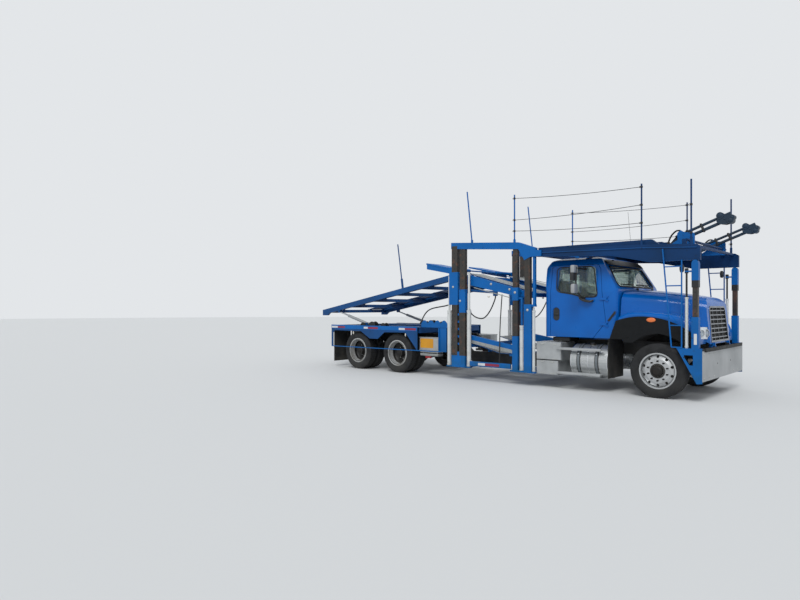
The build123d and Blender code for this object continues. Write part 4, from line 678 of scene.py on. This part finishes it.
front = round_corners(oblong(-1284, 1284, 346, 849), 14)
piece("bumper_face", bumper_plate, stacked(front, ((741.2, 1), (743.4, 1)), across=0))
piece("bumper_bolts", zinc, *[rod((743, y, z), (749, y, z), 11, 6)
                              for y in (-1180, -900, -620, 620, 900, 1180) for z in (400, 790)])
piece("tow_sockets", chassis_black, *[rod((743, y, 600), (744, y, 600), 16, 16) for y in (-420, 420)])
piece("bumper_tread", flap_rubber, block((721, -1283, 850.5), (745, 1283, 884), 3),
      block((738, -1168, 827), (768, 1168, 881), 3),
      along(block((0, -1160, 879), (5, 1160, 884), 1.5), 747, 754, 761))


# Cab: seals, visor, wipers, seats, handles, vents and mirrors

DOOR_WINDOW = ((-1950, 1905), (-1935, 2290), (-1880, 2330), (-1240, 2330), (-1190, 2290), (-1125, 1800),
               (-1160, 1755), (-1440, 1755), (-1600, 1810), (-1900, 1860))
SCREEN = ((-850, 1950), (850, 1950), (895, 2010), (800, 2330), (-800, 2330), (-895, 2010))
SCREEN_SQUARE = (0.863, 0, 0.504)
SCREEN_LEAN = math.atan2(295, 505)


def over_slope(ahead, low, lean, y, up, out):
    """A point over a plane that starts ahead and low and leans back by an angle: up runs along the
    plane and out is square to it."""
    y, up, out = np.broadcast_arrays(np.asarray(y, float), np.asarray(up, float), np.asarray(out, float))
    return np.stack([ahead - up * math.sin(lean) + out * math.cos(lean), y,
                     low + up * math.cos(lean) + out * math.sin(lean)], -1)


def on_windscreen(y, z, out):
    """A point over the windscreen at a y and a height before it moves out."""
    return over_slope(-755, 1895, SCREEN_LEAN, y, (z - 1895) / math.cos(SCREEN_LEAN), out)


def pad(length, width, thick, count=56):
    """A stuffed pad at the origin, over a grid of two numbers x and y from -1 to 1: its half
    thickness goes with the root of (1 - x^8) times (1 - y^8), drawn in by a narrow bell curve along
    two sewn seams beside its middle and one across it."""
    line = np.sin(np.linspace(-math.pi / 2, math.pi / 2, count)) * 0.5 + np.linspace(-1, 1, count) * 0.5
    x, y = line[:, None], line[None]
    beside = 1 - 0.1 * np.exp(-((np.abs(y) - 0.55) / 0.04) ** 2)
    across = 1 - 0.08 * np.exp(-((x - 0.1) / 0.03) ** 2)
    plump = np.sqrt((1 - x**8) * (1 - y**8)) * beside * across
    flat = [x * length / 2 + 0 * plump, y * width / 2 + 0 * plump]
    return together(*[grid(np.stack(flat + [half * plump], -1)) for half in (thick / 2, -thick / 2)])


screen = round_corners(SCREEN, 45)
piece("windscreen_seal", hose_rubber, sweep(on_windscreen(screen[:, 0], screen[:, 1], 1.0), circle(15, 8),
                                            closed=True, up=SCREEN_SQUARE))
blades, wiper_arms = [], []
for start, end, pivot in ((-760, -170, -90), (-40, 560, 690)):
    y = np.linspace(start, end, 12)
    blades.append(sweep(on_windscreen(y, 1985 + 0 * y, 16), rounded(14, 22, 4), up=SCREEN_SQUARE))
    y, z = np.linspace((pivot, 1900), ((start + end) / 2, 1992), 8).T
    wiper_arms += [sweep(on_windscreen(y, z, 34), rounded(16, 9, 3), up=SCREEN_SQUARE),
                   dome(on_windscreen(pivot, 1900, 2), SCREEN_SQUARE, 24, 40)]
piece("wiper_blades", hose_rubber, *blades)
piece("wiper_arms", cab_plastic, *wiper_arms)
y = np.linspace(-850, 850, 25)
brow = np.stack([-1098 - 40 * (y / 850) ** 4, y, 2478 - 26 * (y / 850) ** 4], -1)
BROW_SECTION = ((-20, 6), (70, -8), (140, -48), (205, -124), (199, -130), (132, -58), (62, -20), (-20, -8))
piece("visor", smoked_acrylic, sweep(brow, BROW_SECTION, scale=1 - 0.35 * (y / 850) ** 6))
piece("visor_brackets", cab_plastic,
      *[block((-1085, y - 14, 2425), (-1000, y + 14, 2462), 5) for y in (-600, 0, 600)])

SEAT_OUT = 480
pair("seat_pedestals", cab_plastic, block((-1850, SEAT_OUT - 180, 1050.2), (-1500, SEAT_OUT + 180, 1262), 8))
cushions = sided("seat_cushion", seat_cloth, "chassis", copies(pad(576, 516, 186), (-1670, SEAT_OUT, 1345)))
backs = sided("seat_back", seat_cloth, "chassis",
              copies(turned(pad(664, 496, 112), (0, 1, 0), -100.5), (-1963, SEAT_OUT, 1766)))
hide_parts("seats")

DOOR = "door_{}"
window = np.insert(round_corners(DOOR_WINDOW, 45), 1, 1050, axis=1)
sided("door_window_seal", hose_rubber, DOOR, sweep(window, circle(11, 8), closed=True, up=(0, 1, 0)))
pull = bend([(-1450, 1056, 1760), (-1432, 1086, 1728), (-1350, 1094, 1690), (-1250, 1088, 1672),
             (-1198, 1056, 1690)])
swell = 0.7 + 0.6 * np.sin(np.linspace(0, math.pi, len(pull)))
sided("grab_handle", cab_plastic, DOOR, sweep(pull, rounded(34, 84, 16), up=(0, 1, 0), scale=swell))
turn = np.linspace(0.001, 2 * math.pi - 0.2, 26)
cup = np.stack([66 * np.cos(turn), np.where(np.sin(turn) > 0, 60, -60) + 66 * np.sin(turn)], -1)
sided("handle_cup", cab_plastic, DOOR, plate(cup + (-1960, 1430), 1034.5, 1036.5))
sided("door_latch", cab_plastic, DOOR, block((-2015, 1037, 1412), (-1905, 1054, 1452), 7))
RIGHT_MIRROR_FURTHER = 20
sided("mirror_shells", bumper_plate, DOOR, block((-1460, 1275, 2200), (-1385, 1445, 2340), 14),
      block((-1460, 1279, 1822), (-1380, 1441, 1996), 20), further=RIGHT_MIRROR_FURTHER)
sided("mirror_glass", silvered, DOOR, block((-1468, 1286, 2068), (-1464, 1434, 2322), 2),
      block((-1468, 1291, 1838), (-1464, 1429, 1982), 2), further=RIGHT_MIRROR_FURTHER)
sided("mirror_housing", cab_plastic, DOOR, block((-1470, 1277, 2056), (-1402, 1443, 2196), 9),
      further=RIGHT_MIRROR_FURTHER)
piece("aerial", cab_plastic, rod((-1395, 1370, 2320), (-1396, 1370, 2380), 9),
      rod((-1396, 1370, 2378), (-1508, 1370, 3655), 3.2, 8), body="door_left")
pair("cowl_vents", cab_plastic, plate([(-935, 1318), (-895, 1300), (-772, 1462), (-800, 1492)], 1050.3, 1052.5))
vent_rib = plate([(-930, 1322), (-898, 1302), (-894, 1307), (-926, 1327)], 1052, 1057)
pair("cowl_vent_ribs", chassis_black, copies(vent_rib, np.arange(9)[:, None] * (17, 0, 21)))


# Hood: mesh behind the grille's bars, lamps, the lips of the wheel arches, and black liners inside the arches
# that paint their shade

NOSE_LEAN = math.radians(5.4)
across, rise = np.meshgrid(np.linspace(-1, 1, 121), np.linspace(34, 650, 67), indexing="ij")
half_width = 540 - (rise - 34) * 0.085
cells = 4 * np.sin(across * 150) * np.sin(rise / 4.2)
piece("grille_mesh", flap_rubber, *[grid(over_slope(685, 930, NOSE_LEAN, across * half_width, rise, out))
                                    for out in (cells - 26, -36)], body="hood")
MARKER = (-112, 1343)
oval = circle(1, 24) * (78, 40) + MARKER
sided("marker_lamp", amber_lens, "hood",
      stacked(oval, ((1158.5, 1.0), (1166, 0.97), (1172, 0.85), (1175, 0.5), (1176, 0.1)), MARKER))
sided("marker_lamp_ends", pale_lens, "hood",
      *[dome((MARKER[0] + shift, 1167, MARKER[1]), (0, 1, 0), 13, 5) for shift in (-58, 58)])

LAMP_PLAN = ((652, 605), (628, 760), (560, 925), (450, 925), (450, 605))
LAMP_LEVELS = ((1016, 0.94), (1024, 0.995), (1120, 0.99), (1216, 0.95), (1224, 0.88))
LAMP_BOWLS = ((636, 680, 66, 68), (603, 822, 58, 60))
shells = sided("headlamp_shell", lamp_silver, "hood", stacked(LAMP_PLAN, LAMP_LEVELS, (520, 760), across=2),
               crease=25)
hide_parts("headlights")
sided("headlamp_bowls", lamp_glass, "hood",
      *[dome((ahead, y, 1120), (0.93, 0.36, 0.05), radius, 12, 28, 6) for ahead, y, radius, rim in LAMP_BOWLS])
rims = [ring_about_y(((rim - 5, 0), (rim + 5, 0), (rim + 4, 10), (rim - 4, 10)), (0, 0, 0), 1, 32)
        for ahead, y, radius, rim in LAMP_BOWLS]
sided("headlamp_rims", chrome, "hood", *[copies(turned(shape, (0, 0, 1), -68), (ahead, y, 1120))
                                        for shape, (ahead, y, radius, rim) in zip(rims, LAMP_BOWLS)])

hub = (0, AXLE_HEIGHT)
# Black sheets inside the front arches: painted shade under the fenders
arch_shade_sheet = [np.insert(arc(radius, 49, 131, 42, hub), 1, y, axis=1)
         for radius, y in ((637, 1123), (637, 545), (634, 545), (634, 1123))]
pair("arch_shade_liners", flap_rubber, grid(np.stack(arch_shade_sheet, 1), wrap_v=True, cap=True), body="hood")
inner_lip, outer_lip = arc(634, 90, 133, 30, hub), arc(760, 90, 133, 30, hub)
lip = np.concatenate([inner_lip, [(-600, 938), (-600, 1000)], outer_lip[::-1]])
pair("flare_lips", flare_plastic, plate(lip, 1125.4, 1156), body="hood")


# Tanks, steps and tool boxes

TANK = (0, 890, 560)
STRAPS = (-1432, -1081)
BACKING = ((311.5, -37), (313.5, -35), (313.5, 35), (311.5, 37))
STRAP = ((313.6, -25), (316.5, -23), (316.5, 23), (313.6, 25))
BEAD = ((300, -9), (308, -6), (309, 0), (308, 6), (300, 9))
pair("tank_strap_backings", chassis_black, along(about_x(BACKING, TANK), *STRAPS))
pair("tank_straps", strap_steel, along(about_x(STRAP, TANK), *STRAPS))
pair("tank_beads", chrome, along(about_x(BEAD, TANK), -1588, -1250, -882))
pair("tank_brackets", chrome, along(block((-34, 1085, 298), (34, 1182, 345), 6), *STRAPS),
     along(block((-14, 1160, 690), (14, 1196, 706), 4), *STRAPS))
pair("tank_necks", cast_iron, upright(-1250, 950, 856, 889, 52, 24),
     rod((-1190, 950, 880), (-1165, 950, 872), 7, 8))
pair("tank_caps", strap_steel, dome((-1250, 950, 889), (0, 0, 1), 40, 7, 24))
pair("cab_floor_skirts", chassis_black, block((-2050, 600, 905), (-1700, 1010, 984), 8))
# The tall block edges the shield; the low black lip below it paints shade over the fuel tanks' front ends
pair("splash_shield_edge_and_shade_lip", flap_rubber, block((-869.5, 1106, 268), (-854.5, 1186, 930), 3),
     block((-869.5, 511, 268), (-854.5, 1108, 334), 3))
treads, tread_ribs = [], []
for level, start, end in ((776, -1850, -975), (316, -1850, -978)):
    treads.append(block((start, 1168, level - 20), (end, 1267, level + 20), 5))
    tread_ribs += [block((start + 8, y, level + 19), (end - 8, y + 7, level + 25), 2)
                   for y in (1176, 1192, 1208, 1224, 1240, 1254)]
pair("step_treads", sheet_aluminium, *treads, *tread_ribs)
pair("tool_box_doors", sheet_aluminium, *[
    plate(round_corners(oblong(*door), 16), 1220.4, 1226)
    for door in ((-2279, -1778, 556, 879), (-2279, -1841, 273, 532))], crease=25)
latch, hinge = block((-32, 1225, -11), (32, 1238, 11), 4), rod((-50, 1229, 0), (50, 1229, 0), 6)
pair("tool_box_latches", zinc,
     copies(latch, [(-2160, 0, 850), (-1900, 0, 850), (-2160, 0, 505), (-1950, 0, 505)]),
     copies(hinge, [(-2160, 0, 566), (-1900, 0, 566), (-2160, 0, 284), (-1950, 0, 284)]))
pair("tool_box_gaps", hose_rubber, block((-2290, 1219, 533), (-1768, 1221.5, 553), 1))


# Towers: rows of pin holes painted as dark discs of shade, pins, foot plates, glands, low rails with tape

# Pin holes are flat dark discs: painted shade inside the holes
hole_shade_disc = dome((0, 0, 0), (0, 1, 0), 13, 0.15, 12, 2)
HOLE_ROWS = ((-4268, 1285.35, 560, 1600), (-4268, 1285.35, 2400, 2860), (-4060, 1275.35, 2010, 2860),
             (-4062, 1285.35, 560, 1420), (-2745, 1273.35, 1050, 1640), (-2745, 1273.35, 2030, 2760),
             (-2470, 1275.35, 1680, 2520), (630, 1273.35, 1460, 1840))
pair("mast_hole_shade_discs", hose_rubber,
     copies(hole_shade_disc, [(ahead, y, z) for ahead, y, low, high in HOLE_ROWS for z in range(low, high, 115)]))
pin = together(dome((0, 0, 0), (0, 1, 0), 26, 14, 20), crossbar(0, 0, 0, 17, 11, 6))
pair("tower_pins", zinc,
     copies(pin, [(-4307, 1285.2, 2009), (-4117, 1285.2, 1701), (-2460, 1285.2, 1509)]))
pair("middle_deck_pins", zinc, copies(pin, [(-3393, 1170.2, 2053), (-2945, 1170.2, 1930)]), body="middle_deck")
carriage_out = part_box("deck_carriages")[1].y * 1000
pair("carriage_pins", zinc, copies(pin, (-2745, carriage_out + 0.2, 1861)), body="deck_carriages")
pair("tower_foot_plates", deck_enamel, plate(oblong(-4344, -3985, 264, 516), 1285.3, 1292),
     plate(oblong(-2810, -2378, 264, 300), 1285.3, 1292), block((-3862, 1236, 312), (-2858, 1284, 412), 5))
CYLINDERS = ((-4443, 46, 1500), (-3912, 46, 1500), (-2346, 30, 1500), (-2613, 44, 1200))
pair("cylinder_glands", cylinder_white, *[
    upright(ahead, TOWER_OUT, low, low + tall, radius + 5, 24) for ahead, radius, top in CYLINDERS
    for low, tall in ((top - 34, 34), (300, 26), (760, 8), (1120, 8))])
pair("cylinder_ports", zinc, *[
    crossbar(ahead, z, TOWER_OUT + radius - 4, TOWER_OUT + radius + 16, 9, 8)
    for ahead, radius, top in CYLINDERS if radius > 30 for z in (360, top - 70)])


def tape(name, finish, low, high, y, *bands):
    """Strips of reflective film on a side face: thin plates from one distance ahead to another."""
    pair(name, finish, *[plate(round_corners(oblong(*band, low, high), 4), y, y + 1.2) for band in bands])


tape("rail_tape_white", tape_white, 336, 388, 1284.2, (-3643, -3468))
tape("rail_tape_red", tape_red, 336, 388, 1284.2, (-3466, -3120))
pair("platform_bands", deck_enamel, plate(oblong(-8364, -5358, 1012, 1111), 1274.2, 1279))
tape("platform_tape_white", tape_white, 1030, 1078, 1279.2, (-8350, -8112), (-7128, -6984), (-5930, -5737))
tape("platform_tape_red", tape_red, 1030, 1078, 1279.2, (-8110, -7838), (-6982, -6632), (-5735, -5394))


# Platform: wheel chocks, scalloped plates, lamps; the white box with its yellow panel

chocks = []
for ahead, radius in ((-7221, 92), (-6898, 118), (-6514, 86)):
    bow = arc((radius, 0.95 * radius), 0, 180, 17, (ahead, 1099))
    chocks += [plate(bow, 1090, 1104), plate(bow, 1206, 1220),
               crossbar(ahead, 1099 + 0.5 * radius, 1104, 1206, 0.36 * radius, 20)]
pair("wheel_chocks", chassis_black, *chocks)
run = np.linspace(0, 1, 61)
scallops = np.stack([-5303 + run * 763, 1190 + 78 * np.abs(np.sin(run * 4 * math.pi))], -1)
piece("scalloped_plate", deck_enamel,
      flipped(plate(np.concatenate([scallops, [(-4540, 1104), (-5303, 1104)]]), 1178, 1190)))
piece("box_upright", deck_enamel, flipped(together(
    block((-4790, 1166, 560), (-4560, 1182, 1102), 3), block((-4790, 1150, 560), (-4764, 1200, 1102), 4),
    block((-4586, 1150, 560), (-4560, 1200, 1102), 4))))
pair("yellow_panels", panel_yellow, plate(round_corners(oblong(-5318, -4934, 632, 846), 14), 1200.3, 1203))
pair("box_bars", galvanised,
     *[block((-5332, 1010, low), (-4806, 1192, high), 5) for low, high in ((528, 566), (452, 506))],
     along(block((0, 1060, 450), (30, 1150, 584), 3), -5290, -4880))
pair("low_lamps", red_lens, block((-5200, 1120, 398), (-5040, 1168, 451), 8))
pair("box_lids", galvanised, block((-5352, 1188, 862), (-4784, 1206, 880), 4),
     block((-5352, 1188, 572), (-4784, 1206, 588), 4))
pair("side_lamps", pale_lens, along(block((0, 1240, 880), (24, 1262, 950), 6), -7550, -5752))
pair("flap_bolts", zinc,
     copies(dome((0, 0, 0), (-1, 0, 0), 13, 6), [(-8300.2, y, 1060) for y in (700, 820, 940, 1060, 1180)]),
     block((-8304, 652, 1040), (-8300, 1238, 1082), 2))


# Middle deck: galvanised treadways, edge strips, the tube with its knuckle, lamps and hoses

MIDDLE = "middle_deck"
pair("middle_treadways", galvanised, treadway([(-4060, 2308), (-2350, 1846)]), body=MIDDLE)
pair("middle_deck_strips", galvanised,
     plate([(-3828, 1998), (-2930, 1770), (-2930, 1752), (-3828, 1980)], 1170.3, 1177),
     plate([(-3990, 2316), (-2640, 1960), (-2640, 1948), (-3990, 2302)], 1104, 1112), body=MIDDLE)
# The tube takes the darker enamel that paints shade
pair("middle_deck_tubes", painted_shade_enamel, rod((-3912, 1150, 1925), (-3340, 1150, 1880), 27, 20),
     block((-3352, 1118, 1800), (-3250, 1168, 1925), 14), body=MIDDLE)
deck_lamp = (-3465, 1150, 1790)
pair("middle_deck_lamps", pale_lens, dome(deck_lamp, (0, 0, -1), 26, 16), dome(deck_lamp, (0, 1, 0), 24, 12),
     body=MIDDLE)


def bent(made):
    """Bakes a piece's place into its mesh."""
    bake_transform(made)


def hose(name, points, radius, first, second=None):
    """A hose: a circle carried along a smooth line. It rides one body, or, when a second is given, none, with
    its place baked into its mesh.
    """
    line = bend(points, 9)
    made = piece(name, hose_rubber, sweep(line, circle(radius, 10), up=(0.3, 1, 0.1)),
                 body=None if second else first)
    if second:
        bent(made)


MIDDLE_HOSE = ((-3990, 1120, 1560), (-3931, 1110, 1419), (-3780, 1100, 1335), (-3618, 1100, 1338),
               (-3470, 1100, 1480), (-3340, 1110, 1717), (-3300, 1135, 1840))
DROP_HOSE = ((-3120, 1255, 400), (-3140, 1230, 700), (-3165, 1180, 1100), (-3160, 1150, 1500),
             (-3140, 1140, 1830))
for side, which in SIDES:
    for name, points, radius in (("middle_hose", MIDDLE_HOSE, 13), ("drop_hose", DROP_HOSE, 11)):
        hose(f"{name}_{which}", np.array(points) * (1, side, 1), radius, "chassis", MIDDLE)
hose("platform_hose", [(-4360, -1150, 1660), (-4697, -1040, 1600), (-5198, -1000, 1515), (-5420, -990, 1320),
                       (-5480, -985, 1098)], 14, "chassis")


# Lower deck and bridge flaps: treadways, edge strips and flanges

pair("lower_treadways", galvanised, treadway([(-4250, 870), (-3250, 612), (-2880, 602)]))
beam_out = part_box("lower_deck")[1].y * 1000
pair("lower_deck_strips", galvanised,
     plate([(-4150, 900), (-2880, 694), (-2880, 622), (-4150, 832)], beam_out + 0.3, beam_out + 3))
pair("bridge_flap_flanges", deck_enamel,
     plate([(-5205, 2574), (-4450, 2421), (-4450, 2302), (-5205, 2444)], 1092, 1105), body="bridge_flaps")


# Loading arms: skins of the tubes, cheeks with rollers and their caps, clamps, and the saddles below

ARMS, ARM_OUT = "loading_arms", 850
CHEEK = round_corners([(846, 2966), (868, 3064), (968, 3070), (1040, 3062), (1104, 3036), (1106, 2984),
                       (1056, 2932), (985, 2916), (900, 2932)], 18)
ROLLERS = ((902, 792, 3068, 56, 116), (1056, 788, 2976, 52, 124))
ROLLER_CAPS = ((902, 3068, 36, 58), (1056, 2976, 34, 62), (1080, 3025, 22, 60), (972, 3004, 14, 50))
pair("arm_tubes", arm_enamel, rod((110, ARM_OUT, 2651.5), (1060, ARM_OUT, 3017), 27, 16),
     rod((199.5, ARM_OUT, 2777), (1049.5, ARM_OUT, 3104), 24, 16),
     *[plate(CHEEK, y, y + 9) for y in (800, 891)],
     *[crossbar(ahead, z, y, y + wide, radius, 28) for ahead, y, z, radius, wide in ROLLERS],
     *[dome((ahead, ARM_OUT + way * out, z), (0, way, 0), radius, 9, 20)
       for ahead, z, radius, out in ROLLER_CAPS for way in (-1, 1)], body=ARMS)
pair("arm_clamps", chassis_black, *[
    turned(block((ahead - 16, 818, z - 34), (ahead + 16, 882, z + 122), 8), (0, 1, 0), -21, (ahead, ARM_OUT, z))
    for ahead, z in ((420, 2771), (640, 2856))], body=ARMS)
SADDLE = round_corners([(40, 2572), (262, 2716), (252, 2824), (300, 2882), (372, 2834), (505, 2826),
                        (534, 2790), (534, 2566)], 14)
pair("arm_saddles", deck_enamel, plate(SADDLE, 944, 958), body="head_deck")
strap = bend([(300, 951, 2872), (238, 951, 2868), (170, 951, 2810), (130, 951, 2740), (88, 951, 2618)])
pair("saddle_straps", chassis_black, sweep(strap, rounded(24, 30, 6), up=(0, 1, 0)), body="head_deck")
pair("round_mirror_shells", cab_plastic,
     about_x(((66.2, -17), (68, -17), (68, 17), (66.2, 17)), (403, 1200, 2209), 32),
     dome((418.2, 1200, 2209), (1, 0, 0), 66, 14, 32))
pair("round_mirror_faces", silvered, dome((387.8, 1200, 2209), (-1, 0, 0), 62, 8, 32))


# Over-cab deck: the edge flange, collars on the side rods, and the wire ropes between them

# The flanges take the darker enamel that paints shade
pair("deck_flanges", painted_shade_enamel,
     plate([(-2272, 2640), (-300, 2600), (650, 2552), (650, 2536), (-300, 2584), (-2272, 2624)], 1250.2, 1266),
     plate([(-2272, 2562), (-805, 2498), (-103, 2343.5), (698, 2343.5), (698, 2337), (-100, 2337),
            (-800, 2492), (-2272, 2556)], 1250.2, 1262), body="head_deck")
collar = together(upright(0, 0, -16, 16, 21, 16),
                  ring_about_y(((10, -3), (16, -3), (16, 3), (10, 3)), (-26, 0, 0), 1, 16))
ROPE_LEVELS = ((3649, 3757), (3337, 3322), (3025, 3100))
pair("front_collars", chassis_black,
     copies(collar, [(-245, 1235, fore) for fore, aft in ROPE_LEVELS] + [(560, 1235, z) for z in (2790, 3250)]),
     body="head_deck")
pair("rear_collars", chassis_black, copies(collar, [(-2765, 1265, aft) for fore, aft in ROPE_LEVELS]))
run, sag = np.linspace(0, 1, 25), 110
for side, which in SIDES:
    for index, (fore, aft) in enumerate(ROPE_LEVELS, 1):
        level = aft + (fore - aft) * run - sag * run * (1 - run)
        line = np.stack([-2745 + run * 2480, side * (1265 - 30 * run), level], -1)
        rope = piece(f"wire_rope_{index}_{which}", wire_rope, sweep(line, circle(5, 8)), body=None)
        bent(rope)


# Stage, light and camera

def studio():
    """A wide pale floor under a pale sky, and one broad soft sun from high on the camera's side."""
    finish, tree, main = shader("studio_floor", "floor", Base_Color="#cfd1d2", Roughness=0.9)
    edge = circle(np.array([[0.001], [90.0]]), 64)
    flat, faces = grid(np.insert(edge, 2, 0, axis=-1), wrap_v=True, cap=True)
    mesh = bpy.data.meshes.new("studio_floor")
    mesh.from_pydata(flat.tolist(), [], [face for f in faces for face in f.tolist()][:-1])
    mesh.materials.append(finish[0])
    placed("studio_floor", mesh)

    world = bpy.data.worlds.new("studio_sky")
    bpy.context.scene.world = world
    world.use_nodes = True
    tree = world.node_tree
    tree.nodes.clear()
    seen_by = add_node(tree, "ShaderNodeLightPath").outputs
    seen = seen_by["Is Camera Ray"]
    for ray in ("Is Transmission Ray", "Is Glossy Ray"):
        seen = add_node(tree, "ShaderNodeMath", {0: seen, 1: seen_by[ray]}, operation="MAXIMUM").outputs[0]
    sky = {"Color": linear("#eef1f4"), "Strength": spread(tree, seen, 0.75, 0.9)}
    add_node(tree, "ShaderNodeOutputWorld", {"Surface": add_node(tree, "ShaderNodeBackground", sky).outputs[0]})

    sun = bpy.data.lights.new("soft_sun", "SUN")
    sun.energy = 1.6
    sun.angle = math.radians(25)
    made = placed("soft_sun", sun)
    made.location = x, y, z = 6, -12, 16
    made.rotation_euler = (math.atan2(math.hypot(x, y), z), 0, math.atan2(-y, -x) - math.pi / 2)


def photo_camera():
    """The camera that the photograph's lines give: its place, its level view and its lens."""
    data = bpy.data.cameras.new("photo_camera")
    data.sensor_width = 36.0
    focal_pixels, image_width, horizon, middle = 591.5, 800, 307.9, 300.0
    data.lens = focal_pixels / image_width * data.sensor_width
    data.shift_y = (horizon - middle) / image_width
    data.clip_end = 500
    made = placed("photo_camera", data)
    made.location = (7.473, -11.611, 1.551)
    made.rotation_euler = (math.pi / 2, 0, math.atan2(0.736, -0.677) - math.pi / 2)
    bpy.context.scene.camera = made


studio()
photo_camera()
bpy.context.scene.view_settings.view_transform = "Standard"
